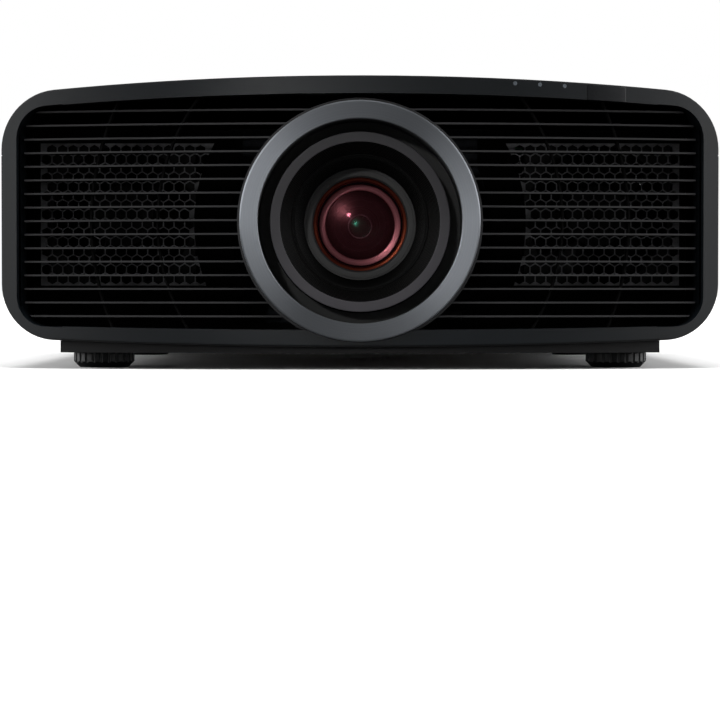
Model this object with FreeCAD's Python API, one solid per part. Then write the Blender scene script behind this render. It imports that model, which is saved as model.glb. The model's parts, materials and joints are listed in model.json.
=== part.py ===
import FreeCAD, Part
import math
import os

from FreeCAD import Vector

# Home projector, in millimetres. +X is right seen from the front, the lens looks along -Y,
# +Z is up. The origin lies under the middle of the projector, on the surface it stands on.

# ---- Overall sizes -------------------------------------------------------------------
body_width = 450.0
body_depth = 479.0            # lens ring's face to the covers' rear rim
body_height = 181.0           # standing surface to the crown of the top cover

# ---- Covers --------------------------------------------------------------------------
cover_bottom = 13.9           # underside of the lower cover at its middle
cover_wall = 3.0
crown_radius = 2600.0         # arch of the top, seen from the front
belly_radius = 4650.0         # arch of the underside
top_corner_radius = 37.0
bottom_corner_radius = 35.0
seam_height = 133.4
seam_gap = 0.4
rear_rim_width = 6.6
rear_rim_thickness = 4.0
part_gap = 0.3                # clearance between pieces that lie beside each other
fit_gap = 0.05                # radial clearance of shafts and rods in their bores
tray_bottom = 10.0
tray_front_half_width = 188.0
tray_rear_half_width = 175.9
tray_step_y = -120.0
tray_set_back = 12.0
tray_lip_height = 18.2
chassis_half_width = 165.0
chassis_lift = 4.5            # chassis top above the lower cover's floor
chassis_set_back = 24.0
chassis_rear_gap = 10.0

# ---- Front ---------------------------------------------------------------------------
ring_stand_off = 3.5          # lens ring's face in front of the bezel's
face_radius = 780.0           # the front's curve, seen from above
bezel_inset = 1.2
bezel_thickness = 4.1
bezel_depth = 20.0
bezel_wall = 2.3
bezel_slope = 6.0             # how much wider each side of the opening is at the face
bezel_slope_lift = 0.4        # the same above and below
bezel_slope_start = 185.0     # the slope runs outwards from here
opening_half_width = 210.6
opening_top = 169.8
opening_bottom = 24.5
opening_crown_radius = 3050.0
opening_belly_radius = 8900.0
opening_top_corner = 19.0
opening_bottom_corner = 17.0
indicator_radius = 1.25
indicator_drop = 1.9          # light's middle below the bezel's upper edge
indicator_first_x = 95.4
indicator_pitch = 15.4
indicator_count = 3
window_low_x = 140.4
window_width = 24.3
window_thickness = 2.4
slat_count = 16
slat_top = 160.2
slat_pitch = 8.49
slat_thickness = 1.1
slat_set_back = 6.0
rib_set_back = 9.0
rib_thickness = 1.2
rib_radii = (126.0, 168.0)
grille_rim_wall = 1.5

# ---- Honeycomb plates and fans -------------------------------------------------------
mesh_thickness = 1.0
mesh_y = -187.0
mesh_outer_x = 206.0
mesh_inner_radius = 82.0
mesh_top = 150.0
hex_pitch = 6.7
hex_web = 0.8
hex_low = 50.5
hex_high = 142.2
hex_outer_x = 203.0
hex_inner_radius = 105.0
fan_size = 92.0
fan_depth = 25.0
fan_x = 150.0
fan_z = 96.0
fan_bore_radius = 44.5
fan_blade_radius = 43.5
fan_hub_radius = 19.0
fan_blade_count = 7
fan_blade_pitch = 38.0        # degrees
fan_blade_thickness = 1.6
fan_shaft_radius = 1.5
fan_mount_radius = 17.0
fan_mount_thickness = 3.0
fan_strut_width = 4.0

# ---- Lens ----------------------------------------------------------------------------
lens_z = 91.4
ring_outer_radius = 74.0
ring_inner_radius = 63.0
ring_thickness = 7.5
ring_sleeve_wall = 2.5
ring_depth = 49.5
shroud_wall = 1.7
shroud_plate = 2.0
vertical_shift = 5.5          # travel each way
side_shift = 3.5
barrel_set_back = 20.0
barrel_radius = 55.9
barrel_ring_length = 16.0
barrel_mouth_radius = 49.7
barrel_step_radius = 42.0
barrel_step_depth = 40.0
barrel_step_height = 1.2
barrel_throat_radius = 36.2
barrel_neck_radius = 50.0
retainer_depth = 75.0         # from the ring's face
retainer_outer_radius = 35.9
retainer_inner_radius = 30.0
retainer_thickness = 3.0
glass_radius = 35.5
glass_bulge = 9.0
glass_edge = 3.0
focus_travel = 4.0
sleeve_wall = 2.7
sleeve_front_y = -186.0
sleeve_step_y = -92.0
sleeve_rear_y = -66.0
sleeve_rear_radius = 40.0
gear_module = 1.6
ring_teeth = 72
pinion_teeth = 12
gear_width = 8.0
focus_gear_y = -184.0
zoom_gear_y = -165.0
pinion_shaft_radius = 1.5
pinion_angle = 25.0           # degrees above the level line through the lens axis
lens_flange_y = -150.0
lens_flange_thickness = 3.0
lens_flange_radius = 64.0
lens_motor_radius = 8.0
lens_motor_length = 22.0
motor_lobe_radius = 10.0

# ---- Lens shift ----------------------------------------------------------------------
rod_radius = 2.5
screw_radius = 2.2
side_rod_offset = 58.5        # side-shift rods above and below the lens axis
side_rod_y = -128.0
side_rod_half_length = 50.0
side_lug_width = 8.0
slide_block_half_width = 25.0
carriage_y = -122.0
carriage_thickness = 4.0
carriage_half_width = 85.0
carriage_half_height = 63.5
lift_rod_x = 78.0
lift_rod_y = -106.0
lift_rod_reach = 58.0         # rod ends above and below the lens axis
lift_lug_height = 6.0
base_plate_y = -98.0
base_plate_thickness = 4.0
lift_screw_x = 94.0
side_screw_y = -141.0
shift_motor_radius = 8.0
shift_motor_length = 16.0

# ---- Rear ----------------------------------------------------------------------------
panel_recess = 2.5
panel_thickness = 4.1
panel_groove = 0.8
flange_thickness = 2.3
louvre_left = (91.2, 208.0)   # left and right as seen from behind
louvre_right = (85.2, 208.3)
louvre_bottom = 27.8
louvre_top = 140.5
louvre_outer_corner = 16.0
louvre_inner_corner = 4.0
louvre_slats = 11
louvre_slat_top = 130.7
louvre_pitch = 9.125
louvre_slat_thickness = 1.1
louvre_set_back = 0.8
louvre_depth = 14.0
louvre_wall = 1.5
louvre_rib_thickness = 1.0
filter_thickness = 3.0
louvre_ribs_left = (156.7, 123.8)
louvre_ribs_right = (155.9, 122.8)
terminal_low_x = -84.0
terminal_high_x = 143.2
terminal_bottom = 144.0
terminal_rim = 3.1
terminal_plate_thickness = 1.2
terminal_overlap = 1.2
video_socket_x = (93.3, 58.0)
video_z = 155.9
video_width = 16.6
video_height = 7.0
socket_wall = 0.7
socket_depth = 12.0
tongue_thickness = 1.4
bracket_width = 23.5
bracket_height = 12.8
bracket_tab_width = 11.0
bracket_tab_top = 168.2
bracket_thickness = 0.6
lan_x = 22.9
lan_z = 159.3
lan_width = 20.0
lan_height = 15.0
lan_mouth_width = 13.3
lan_mouth_height = 10.5
service_x = -9.4
service_z = 157.2
service_width = 14.5
service_height = 7.3
terminal_screw_radius = 2.85
terminal_screw_head = 1.6
terminal_screw_shank = 1.4
bracket_screw_z = 165.3
ground_screw_x = 0.4
ground_screw_z = 166.4
recess_low_x = 34.0
recess_high_x = 86.9
recess_bottom = 20.0
recess_top = 71.4
recess_corner = 8.5
recess_depth = 15.0
recess_wall = 1.5
inlet_x = 59.6
inlet_z = 45.7
inlet_width = 28.3
inlet_height = 22.4
inlet_corner = 6.5
inlet_wall = 1.9
inlet_proud = 2.0
inlet_cavity = 15.0
inlet_back = 3.0
blade_spacing = 7.0
blade_thickness = 2.0
blade_height = 4.0
blade_length = 13.0
blade_earth_drop = 5.0
button_x = -108.7
button_z = 156.4
button_radius = 6.5
button_well_radius = 7.9
button_well_depth = 2.0
button_proud = 1.2            # above the floor of its well
button_travel = 1.2
button_guide_length = 9.0
button_guide_wall = 1.6
button_collar_radius = 7.9
button_collar_thickness = 2.0
button_collar_gap = 0.4
sensor_x = -159.0
sensor_z = 155.9
sensor_radius = 7.5
sensor_thickness = 2.4
label_low_x = 32.3
label_high_x = 87.0
label_bottom = 75.0
label_top = 140.0
field_low_x = -80.5
field_high_x = 30.8
field_bottom = 40.0
field_recess = 0.6
field_corner = 2.0

# ---- Feet ----------------------------------------------------------------------------
foot_x = 164.0
foot_front_y = -165.0
foot_rear_y = 175.0
foot_radius = 19.3
foot_chamfer = 3.8
foot_height = 9.7
foot_flute_count = 24
foot_flute_radius = 1.3
foot_stud_radius = 4.0
foot_stud_top = 40.0
foot_stud_seat = 4.0          # stud's end above the standing surface
foot_boss_radius = 8.0
foot_boss_top = 42.0

# ---- Inside --------------------------------------------------------------------------
block_half_width = 68.0
block_front_y = -58.0
block_depth = 118.0
block_height = 118.0
board_z = 147.0
board_thickness = 1.6
board_half_gap = 4.0
board_front_y = -20.0
board_post_radius = 4.0
source_low_x = 80.0
source_width = 80.0
source_front_y = -60.0
source_depth = 100.0
source_height = 88.0
fin_count = 13
fin_thickness = 2.0
fin_depth = 70.0
fin_base = 6.0
supply_low_x = -160.0
supply_width = 72.0
supply_front_y = -85.0
supply_depth = 180.0
supply_height = 46.0
supply_wall = 1.5

# ---- Worked-out places ---------------------------------------------------------------
ring_face_y = -body_depth / 2
rear_y = body_depth / 2
face_y = ring_face_y + ring_stand_off
panel_face_y = rear_y - panel_recess
panel_back_y = panel_face_y - panel_thickness
panel_flange_y = panel_back_y + flange_thickness
chassis_top = cover_bottom + cover_wall + chassis_lift
barrel_face_y = ring_face_y + barrel_set_back
sleeve_inner_radius = barrel_neck_radius + fit_gap
sleeve_radius = sleeve_inner_radius + sleeve_wall
ring_pitch_radius = gear_module * ring_teeth / 2
pinion_pitch_radius = gear_module * pinion_teeth / 2
pinion_offset = ring_pitch_radius + pinion_pitch_radius
shift_reach = math.hypot(vertical_shift, side_shift)
along_y = Vector(0, 1, 0)
far = 600.0


# ---- Shared shapes -------------------------------------------------------------------
def box(x0, x1, y0, y1, z0, z1):
    return Part.makeBox(x1 - x0, y1 - y0, z1 - z0, Vector(x0, y0, z0))


def round_y(radius, y0, y1, x=0.0, z=lens_z):
    """A round bar along Y."""
    return Part.makeCylinder(radius, y1 - y0, Vector(x, y0, z), along_y)


def round_z(radius, z0, z1, x, y):
    return Part.makeCylinder(radius, z1 - z0, Vector(x, y, z0))


def tube_y(outer, inner, y0, y1, x=0.0, z=lens_z):
    return round_y(outer, y0, y1, x, z).cut(round_y(inner, y0 - 1, y1 + 1, x, z))


def joined(shapes):
    whole = shapes[0].fuse(shapes[1:]) if len(shapes) > 1 else shapes[0]
    return whole.removeSplitter()


def turned_y(profile, x=0.0, z=lens_z):
    """A solid turned about an axis along Y from (radius, y) points."""
    points = [Vector(x + radius, y, z) for radius, y in profile]
    wire = Part.makePolygon(points + [points[0]])
    return Part.Face(wire).revolve(Vector(x, 0, z), along_y, 360)


def edges_along(shape, direction):
    found = []
    for edge in shape.Edges:
        if isinstance(edge.Curve, Part.Line) and abs(edge.Curve.Direction.dot(direction)) > 0.999:
            found.append(edge)
    return found


def arched_bar(half, top, crown, bottom, belly, top_corner, bottom_corner, y0, y1):
    """A bar along Y with arched top and underside and rounded corners."""
    def arc(height, radius, sign):
        middle = height - sign * radius
        end = middle + sign * math.sqrt(radius * radius - half * half)
        points = [Vector(-half, y0, end), Vector(0, y0, height), Vector(half, y0, end)]
        return Part.Arc(*points).toShape(), points[0], points[2]
    upper, upper_left, upper_right = arc(top, crown, 1)
    lower, lower_left, lower_right = arc(bottom, belly, -1)
    right = Part.makeLine(upper_right, lower_right)
    left = Part.makeLine(lower_left, upper_left)
    wire = Part.Wire(Part.__sortEdges__([upper, right, lower, left]))
    bar = Part.Face(wire).extrude(Vector(0, y1 - y0, 0))
    middle_z = (top + bottom) / 2
    edges = edges_along(bar, along_y)
    high = [e for e in edges if e.CenterOfMass.z > middle_z]
    low = [e for e in edges if e.CenterOfMass.z < middle_z]
    bar = bar.makeFillet(top_corner, high)
    low = [e for e in edges_along(bar, along_y)
           if e.CenterOfMass.z < middle_z and abs(abs(e.CenterOfMass.x) - half) < 1e-3
           and abs(e.CenterOfMass.z - lower_left.z) < 1e-3]
    return bar.makeFillet(bottom_corner, low)


def outline(inset, y0=-far, y1=far):
    """The covers' outline drawn in by inset all round."""
    return arched_bar(body_width / 2 - inset,
                      body_height - inset, crown_radius - inset,
                      cover_bottom + inset, belly_radius - inset,
                      top_corner_radius - inset, bottom_corner_radius - inset, y0, y1)


def front_opening(grow, y0=-far, y1=far):
    """The bezel's opening, let out by grow all round."""
    return arched_bar(opening_half_width + grow,
                      opening_top + grow, opening_crown_radius + grow,
                      opening_bottom - grow, opening_belly_radius + grow,
                      opening_top_corner + grow, opening_bottom_corner + grow, y0, y1)


def behind_front(depth):
    """Everything that lies at least depth behind the curved front."""
    return Part.makeCylinder(face_radius - depth, far, Vector(0, face_y + face_radius, -far / 4))


def front_layer(shape, near, deep):
    """The stretch of shape between two depths behind the curved front."""
    return shape.common(behind_front(near)).cut(behind_front(deep))


def rounded_block(x0, x1, z0, z1, y0, y1, corners):
    """A block with its four edges along Y rounded: corners maps (x side, z side) to a radius."""
    block = box(x0, x1, y0, y1, z0, z1)
    for (x_side, z_side), radius in corners.items():
        x = x1 if x_side > 0 else x0
        z = z1 if z_side > 0 else z0
        chosen = [e for e in edges_along(block, along_y)
                  if abs(e.CenterOfMass.x - x) < 1e-3 and abs(e.CenterOfMass.z - z) < 1e-3]
        block = block.makeFillet(radius, chosen)
    return block


def even_corners(radius):
    return {(sx, sz): radius for sx in (-1, 1) for sz in (-1, 1)}


def hexagon(x, z, y, size):
    points = []
    for step in range(7):
        angle = math.radians(60 * step + 30)
        points.append(Vector(x + size * math.cos(angle), y, z + size * math.sin(angle)))
    return Part.makePolygon(points)


def honeycomb(plate_face, y, thickness, keep):
    """A plate with six-sided holes wherever keep(x, z) says so."""
    box_of_plate = plate_face.BoundBox
    size = (hex_pitch - hex_web) / math.sqrt(3)
    row_step = hex_pitch * math.sqrt(3) / 2
    wires = [plate_face.OuterWire]
    rows = int((box_of_plate.ZMax - box_of_plate.ZMin) / row_step) + 2
    columns = int((box_of_plate.XMax - box_of_plate.XMin) / hex_pitch) + 2
    for row in range(rows):
        z = box_of_plate.ZMin + row * row_step
        for column in range(columns):
            x = box_of_plate.XMin + (column + 0.5 * (row % 2)) * hex_pitch
            if keep(x, z):
                wires.append(hexagon(x, z, y, size))
    face = Part.makeFace(wires, "Part::FaceMakerBullseye")
    return face.extrude(Vector(0, thickness, 0))


def mirrored(shape):
    return shape.mirror(Vector(0, 0, 0), Vector(1, 0, 0))


def gear(teeth, y0, y1, x, z, bore, phase):
    """A toothed wheel about an axis along Y; a tooth points at angle phase, in degrees."""
    pitch_radius = gear_module * teeth / 2
    tip = pitch_radius + 0.8 * gear_module
    root = pitch_radius - 1.15 * gear_module
    step = 2 * math.pi / teeth
    points = []
    for tooth in range(teeth):
        middle = math.radians(phase) + tooth * step
        for share, radius in ((-0.30, root), (-0.11, tip), (0.11, tip), (0.30, root)):
            angle = middle + share * step
            points.append(Vector(x + radius * math.cos(angle), y0, z + radius * math.sin(angle)))
    wheel = Part.Face(Part.makePolygon(points + [points[0]])).extrude(Vector(0, y1 - y0, 0))
    if bore:
        wheel = wheel.cut(round_y(bore, y0 - 1, y1 + 1, x, z))
    return wheel


# ---- Covers, tray and chassis --------------------------------------------------------
def cover_shell():
    rim_front = rear_y - rear_rim_thickness
    shell = outline(0, -far, rear_y).common(behind_front(bezel_thickness + seam_gap))
    shell = shell.cut(outline(cover_wall, -far, rim_front))
    return shell.cut(outline(rear_rim_width, rim_front - 1, far))


def foot_places():
    return [("front_left", -foot_x, foot_front_y), ("front_right", foot_x, foot_front_y),
            ("rear_left", -foot_x, foot_rear_y), ("rear_right", foot_x, foot_rear_y)]


def make_top_cover(shell):
    return shell.common(box(-far, far, -far, far, seam_height + seam_gap / 2, far))


def make_bottom_cover(shell):
    cover = shell.common(box(-far, far, -far, far, -far, seam_height - seam_gap / 2))
    notch = box(-tray_rear_half_width - part_gap, tray_rear_half_width + part_gap,
                panel_back_y - part_gap, far, -far, louvre_bottom)
    cover = cover.cut(notch)
    for _, x, y in foot_places():
        boss = round_z(foot_boss_radius, cover_bottom + cover_wall / 2, foot_boss_top, x, y)
        bore = round_z(foot_stud_radius + fit_gap, -1, foot_boss_top + 1, x, y)
        boss = boss.common(outline(cover_wall / 2))
        cover = cover.fuse(boss).cut(bore)
    return cover


def make_base_tray():
    front = box(-tray_front_half_width, tray_front_half_width, -far / 2, tray_step_y,
                tray_bottom, tray_lip_height)
    rear = box(-tray_rear_half_width, tray_rear_half_width, tray_step_y,
               panel_back_y - part_gap, tray_bottom, tray_lip_height)
    lip = box(-tray_rear_half_width, tray_rear_half_width, panel_back_y - part_gap,
              panel_face_y, tray_bottom, tray_lip_height)
    plate = front.fuse(rear).common(behind_front(tray_set_back)).cut(outline(-part_gap))
    tray = joined([plate, lip])
    for _, x, y in foot_places():
        tray = tray.cut(round_z(foot_stud_radius + part_gap, 0, far, x, y))
    return tray


def make_chassis_plate():
    plate = box(-chassis_half_width, chassis_half_width, -far / 2, panel_back_y - chassis_rear_gap,
                0, chassis_top)
    plate = plate.common(outline(cover_wall + part_gap)).common(behind_front(chassis_set_back))
    plate = plate.cut(round_y(ring_outer_radius + 1, -far / 2, ring_face_y + ring_depth + 2))
    for _, x, y in foot_places():
        plate = plate.cut(round_z(foot_boss_radius + part_gap, 0, far, x, y))
    motor_room = shift_motor_radius + 2
    plate = plate.cut(box(side_rod_half_length - side_shift, side_rod_half_length
                          + shift_motor_length + side_shift, side_screw_y - motor_room,
                          side_screw_y + motor_room, 0, far))
    recess_cut = box(recess_low_x - 2 * recess_wall, recess_high_x + 2 * recess_wall,
                     panel_back_y - recess_depth - 25, far, 0, far)
    return plate.cut(recess_cut)


# ---- Front ---------------------------------------------------------------------------
def end_wire(bar, y):
    ends = [f for f in bar.Faces if f.BoundBox.YLength < 1e-6 and abs(f.BoundBox.YMin - y) < 1e-6]
    return ends[0].OuterWire


def bezel_side_slopes():
    """What is cut away where the opening widens towards the face, at the sides and corners."""
    front_y = face_y + face_radius - math.sqrt(face_radius ** 2 - bezel_slope_start ** 2)
    back_y = front_y + bezel_depth + bezel_thickness
    wide = arched_bar(opening_half_width + bezel_slope,
                      opening_top + bezel_slope_lift, opening_crown_radius,
                      opening_bottom - bezel_slope_lift, opening_belly_radius,
                      opening_top_corner + 3, opening_bottom_corner + 3, front_y, back_y)
    narrow = front_opening(0, back_y, back_y + 1)
    slope = Part.makeLoft([end_wire(wide, front_y), end_wire(narrow, back_y)], True, True)
    middle = box(-bezel_slope_start, bezel_slope_start, -far, 0, -far, far)
    return slope.cut(middle)


def make_bezel_blank():
    face = front_layer(outline(bezel_inset), 0, bezel_thickness)
    inner = cover_wall + seam_gap
    skirt = outline(inner).cut(outline(inner + bezel_wall))
    throat = front_opening(bezel_wall).cut(front_opening(0)).common(outline(inner))
    walls = front_layer(skirt.fuse(throat), bezel_thickness - 0.5, bezel_depth)
    blank = face.fuse(walls).cut(front_opening(0)).cut(bezel_side_slopes())
    return blank.cut(round_y(ring_outer_radius + seam_gap, -far, 0))


def indicator_bars(radius, near, deep):
    bars = []
    for index in range(indicator_count):
        x = indicator_first_x + index * indicator_pitch
        fall = crown_radius - math.sqrt(crown_radius ** 2 - x ** 2)
        height = body_height - bezel_inset - fall - indicator_drop
        bar = round_y(radius, -far / 2, 0, x, height)
        bars.append(front_layer(bar, near, deep))
    return bars


def make_front_pieces():
    blank = make_bezel_blank()
    high_x = window_low_x + window_width
    window_zone = box(window_low_x, high_x, -far, 0, seam_height, far)
    window = front_layer(blank.common(window_zone), 0, window_thickness)
    pocket_zone = box(window_low_x - part_gap / 2, high_x + part_gap / 2, -far, 0, seam_height, far)
    pocket = front_layer(pocket_zone, -5, window_thickness + part_gap / 2)
    bezel = blank.cut(pocket)
    for bar in indicator_bars(indicator_radius + fit_gap, -5, bezel_thickness + 1):
        bezel = bezel.cut(bar)
    lights = Part.makeCompound(indicator_bars(indicator_radius, 0, bezel_thickness - 0.3))
    return bezel, window, lights


def make_front_grille():
    """The right half of the grille; the left half is its mirror image."""
    grille_rim = ring_outer_radius + seam_gap + grille_rim_wall
    right_side = box(part_gap / 2, far, -far, far, -far, far)
    zone = front_opening(-part_gap).common(right_side)
    zone = zone.cut(round_y(ring_outer_radius + seam_gap, -far, far))
    slats = []
    for index in range(slat_count):
        z = slat_top - index * slat_pitch
        slats.append(box(0, far, -far / 2, 0, z - slat_thickness / 2, z + slat_thickness / 2))
    slats = front_layer(Part.makeCompound(slats).common(zone), slat_set_back, bezel_depth)
    pieces = [slats]
    for radius in rib_radii:
        ring = tube_y(radius + rib_thickness / 2, radius - rib_thickness / 2, -far / 2, 0)
        pieces.append(front_layer(ring.common(zone), rib_set_back, bezel_depth))
    rim = tube_y(grille_rim, ring_outer_radius + seam_gap, -far / 2, 0)
    pieces.append(front_layer(rim.common(zone), slat_set_back, bezel_depth))
    return joined(pieces)


def make_front_mesh():
    """The right honeycomb plate, standing on the chassis."""
    outer = box(0, mesh_outer_x, mesh_y, mesh_y + mesh_thickness, chassis_top, mesh_top)
    outer = outer.cut(round_y(mesh_inner_radius, -far / 2, 0))
    outer = outer.cut(box(-far, ring_outer_radius, -far, 0, -far, far))
    outer = outer.common(outline(cover_wall + part_gap))
    face = [f for f in outer.Faces
            if abs(f.CenterOfMass.y - mesh_y) < 1e-4 and abs(f.normalAt(0, 0).y) > 0.99][0]

    def keep(x, z):
        if x > hex_outer_x - hex_pitch / 2 or not hex_low < z < hex_high:
            return False
        return math.hypot(x, z - lens_z) > hex_inner_radius

    return honeycomb(face, mesh_y, mesh_thickness, keep)


# ---- Fans ----------------------------------------------------------------------------
def make_fan_housing():
    """The right fan's frame, fastened to the back of the honeycomb plate."""
    front = mesh_y + mesh_thickness
    back = front + fan_depth
    half = fan_size / 2
    frame = rounded_block(fan_x - half, fan_x + half, fan_z - half, fan_z + half,
                          front, back, even_corners(4.0))
    frame = frame.cut(round_y(fan_bore_radius, front - 1, back + 1, fan_x, fan_z))
    mount = round_y(fan_mount_radius, back - fan_mount_thickness, back, fan_x, fan_z)
    parts = [frame, mount]
    for index in range(4):
        strut = box(fan_x, fan_x + fan_bore_radius + 1, back - fan_mount_thickness, back,
                    fan_z - fan_strut_width / 2, fan_z + fan_strut_width / 2)
        strut.rotate(Vector(fan_x, 0, fan_z), along_y, 45 + 90 * index)
        parts.append(strut)
    housing = joined(parts)
    return housing.cut(round_y(fan_shaft_radius + fit_gap, front, back + 1, fan_x, fan_z))


def make_fan_rotor(x, hand):
    front = mesh_y + mesh_thickness + 2
    back = mesh_y + mesh_thickness + fan_depth - fan_mount_thickness - 1
    middle = (front + back) / 2
    hub = round_y(fan_hub_radius, front, back, x, fan_z)
    shaft = round_y(fan_shaft_radius, back - 1, back + fan_mount_thickness, x, fan_z)
    parts = [hub, shaft]
    chord = (back - front) * 0.95 / math.cos(math.radians(fan_blade_pitch))
    for index in range(fan_blade_count):
        blade = box(x + fan_hub_radius - 2, x + fan_blade_radius + 3, middle - chord / 2,
                    middle + chord / 2, fan_z - fan_blade_thickness / 2,
                    fan_z + fan_blade_thickness / 2)
        blade.rotate(Vector(x, middle, fan_z), Vector(1, 0, 0), hand * fan_blade_pitch)
        blade.rotate(Vector(x, 0, fan_z), along_y, 360.0 / fan_blade_count * index)
        parts.append(blade)
    rotor = joined(parts)
    swept = round_y(fan_blade_radius, front, back + fan_mount_thickness + 1, x, fan_z)
    return rotor.common(swept)


# ---- Lens ----------------------------------------------------------------------------
def make_lens_trim_ring():
    face = ring_face_y
    edge = 0.8
    sleeve_outer = ring_outer_radius - 0.5
    profile = [(ring_inner_radius, face + edge), (ring_inner_radius + edge, face),
               (ring_outer_radius - edge, face), (ring_outer_radius, face + edge),
               (ring_outer_radius, face + ring_thickness), (sleeve_outer, face + ring_thickness),
               (sleeve_outer, face + ring_depth),
               (sleeve_outer - ring_sleeve_wall, face + ring_depth),
               (sleeve_outer - ring_sleeve_wall, face + ring_thickness),
               (ring_inner_radius, face + ring_thickness)]
    return turned_y(profile)


def make_lens_shroud():
    front = ring_face_y + ring_thickness + part_gap
    back = ring_face_y + ring_depth
    inner = ring_inner_radius + part_gap
    outer = ring_outer_radius - 0.5 - ring_sleeve_wall - part_gap
    hole = barrel_neck_radius + shift_reach + seam_gap
    profile = [(inner, front), (inner + shroud_wall, front),
               (inner + shroud_wall, back - shroud_plate), (outer, back - shroud_plate),
               (outer, back), (hole, back), (hole, back - shroud_plate),
               (inner, back - shroud_plate)]
    return turned_y(profile)


def make_front_barrel():
    face = barrel_face_y
    back = ring_face_y + retainer_depth
    step_y = ring_face_y + barrel_step_depth
    end = back + 16
    edge = 0.6
    profile = [(barrel_mouth_radius, face), (barrel_radius - edge, face),
               (barrel_radius, face + edge), (barrel_radius, face + barrel_ring_length),
               (barrel_neck_radius, face + barrel_ring_length), (barrel_neck_radius, end),
               (retainer_inner_radius + 2, end), (retainer_inner_radius + 2, end - 2),
               (barrel_throat_radius, end - 2), (barrel_throat_radius, back),
               (barrel_step_radius - 1, step_y + 1.5), (barrel_step_radius, step_y + 1.5),
               (barrel_step_radius, step_y),
               (barrel_step_radius + barrel_step_height, step_y)]
    return turned_y(profile)


def make_lens_retainer():
    front = ring_face_y + retainer_depth
    return turned_y([(retainer_inner_radius, front + 1.2), (retainer_inner_radius + 1.2, front),
                     (retainer_outer_radius, front),
                     (retainer_outer_radius, front + retainer_thickness),
                     (retainer_inner_radius, front + retainer_thickness)])


def make_front_element():
    """A thick lens, domed to the front and nearly flat behind."""
    edge_y = ring_face_y + retainer_depth + retainer_thickness + 0.2
    rim = Vector(glass_radius, edge_y + 2.5, lens_z)
    high = Vector(0, edge_y + 2.5 - glass_bulge, lens_z)
    mid = Vector(glass_radius * 0.55, edge_y + 2.5 - glass_bulge * 0.72, lens_z)
    back = edge_y + 2.5 + glass_edge
    dome = Part.Arc(high, mid, rim).toShape()
    lines = Part.makePolygon([rim, Vector(glass_radius, back, lens_z),
                              Vector(0, back, lens_z), high])
    wire = Part.Wire(Part.__sortEdges__([dome] + lines.Edges))
    glass = Part.Face(wire).revolve(Vector(0, 0, lens_z), along_y, 360)
    clear = round_y(glass_radius, edge_y, back + 1).fuse(
        round_y(retainer_inner_radius - 0.4, -far / 2, edge_y + 1))
    return glass.common(clear)


def pinion_place(side):
    angle = math.radians(pinion_angle)
    return side * pinion_offset * math.cos(angle), lens_z + pinion_offset * math.sin(angle)


def make_lens_sleeve():
    """The lens's fixed outer tube, with its flange and the blocks that ride on the rods."""
    parts = [round_y(sleeve_radius, sleeve_front_y, sleeve_step_y),
             round_y(sleeve_rear_radius, sleeve_step_y, sleeve_rear_y),
             round_y(lens_flange_radius, lens_flange_y, lens_flange_y + lens_flange_thickness)]
    for side in (-1, 1):
        x, z = pinion_place(side)
        parts.append(round_y(motor_lobe_radius, lens_flange_y,
                             lens_flange_y + lens_flange_thickness, x, z))
    block_top = carriage_half_height - 0.5
    front = side_screw_y - 4
    parts.append(box(-slide_block_half_width, slide_block_half_width, side_rod_y - 5,
                     side_rod_y + 5, lens_z + sleeve_radius - 6, lens_z + block_top))
    parts.append(box(-slide_block_half_width, slide_block_half_width, front, side_rod_y + 5,
                     lens_z - block_top, lens_z - sleeve_radius + 6))
    sleeve = joined(parts)
    bore_end = sleeve_step_y - 4
    sleeve = sleeve.cut(round_y(sleeve_inner_radius, -far / 2, bore_end))
    sleeve = sleeve.cut(round_y(sleeve_rear_radius - sleeve_wall, bore_end - 1, 0))
    for sign in (-1, 1):
        sleeve = sleeve.cut(side_bar(rod_radius + fit_gap, side_rod_y, sign, -far / 4, far / 4))
        x, z = pinion_place(sign)
        sleeve = sleeve.cut(round_y(pinion_shaft_radius + fit_gap, -far / 2, 0, x, z))
    return sleeve.cut(side_bar(screw_radius + fit_gap, side_screw_y, -1, -far / 4, far / 4))


def side_bar(radius, y, sign, x0, x1):
    """A round bar along X, above (sign 1) or below (sign -1) the lens."""
    return Part.makeCylinder(radius, x1 - x0, Vector(x0, y, lens_z + sign * side_rod_offset),
                             Vector(1, 0, 0))


def make_gear_rings():
    bore = sleeve_radius + fit_gap
    return {"focus_ring": gear(ring_teeth, focus_gear_y, focus_gear_y + gear_width, 0, lens_z,
                               bore, pinion_angle),
            "zoom_ring": gear(ring_teeth, zoom_gear_y, zoom_gear_y + gear_width, 0, lens_z,
                              bore, 180 - pinion_angle)}


def make_pinion(side, y0):
    """A pinion whose shaft runs back through the lens flange."""
    x, z = pinion_place(side)
    half_tooth = 180.0 / pinion_teeth
    toward_ring = 180 + pinion_angle if side > 0 else -pinion_angle
    wheel = gear(pinion_teeth, y0, y0 + gear_width, x, z, 0, toward_ring + half_tooth)
    end = lens_flange_y + lens_flange_thickness + 3
    return wheel.fuse(round_y(pinion_shaft_radius, y0, end, x, z)).removeSplitter()


def make_lens_motors():
    front = lens_flange_y + lens_flange_thickness
    motors = []
    for side in (-1, 1):
        x, z = pinion_place(side)
        motor = round_y(lens_motor_radius, front, front + lens_motor_length, x, z)
        motors.append(motor.cut(round_y(pinion_shaft_radius + fit_gap, front - 1,
                                        front + 5, x, z)))
    return Part.makeCompound(motors)


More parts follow.
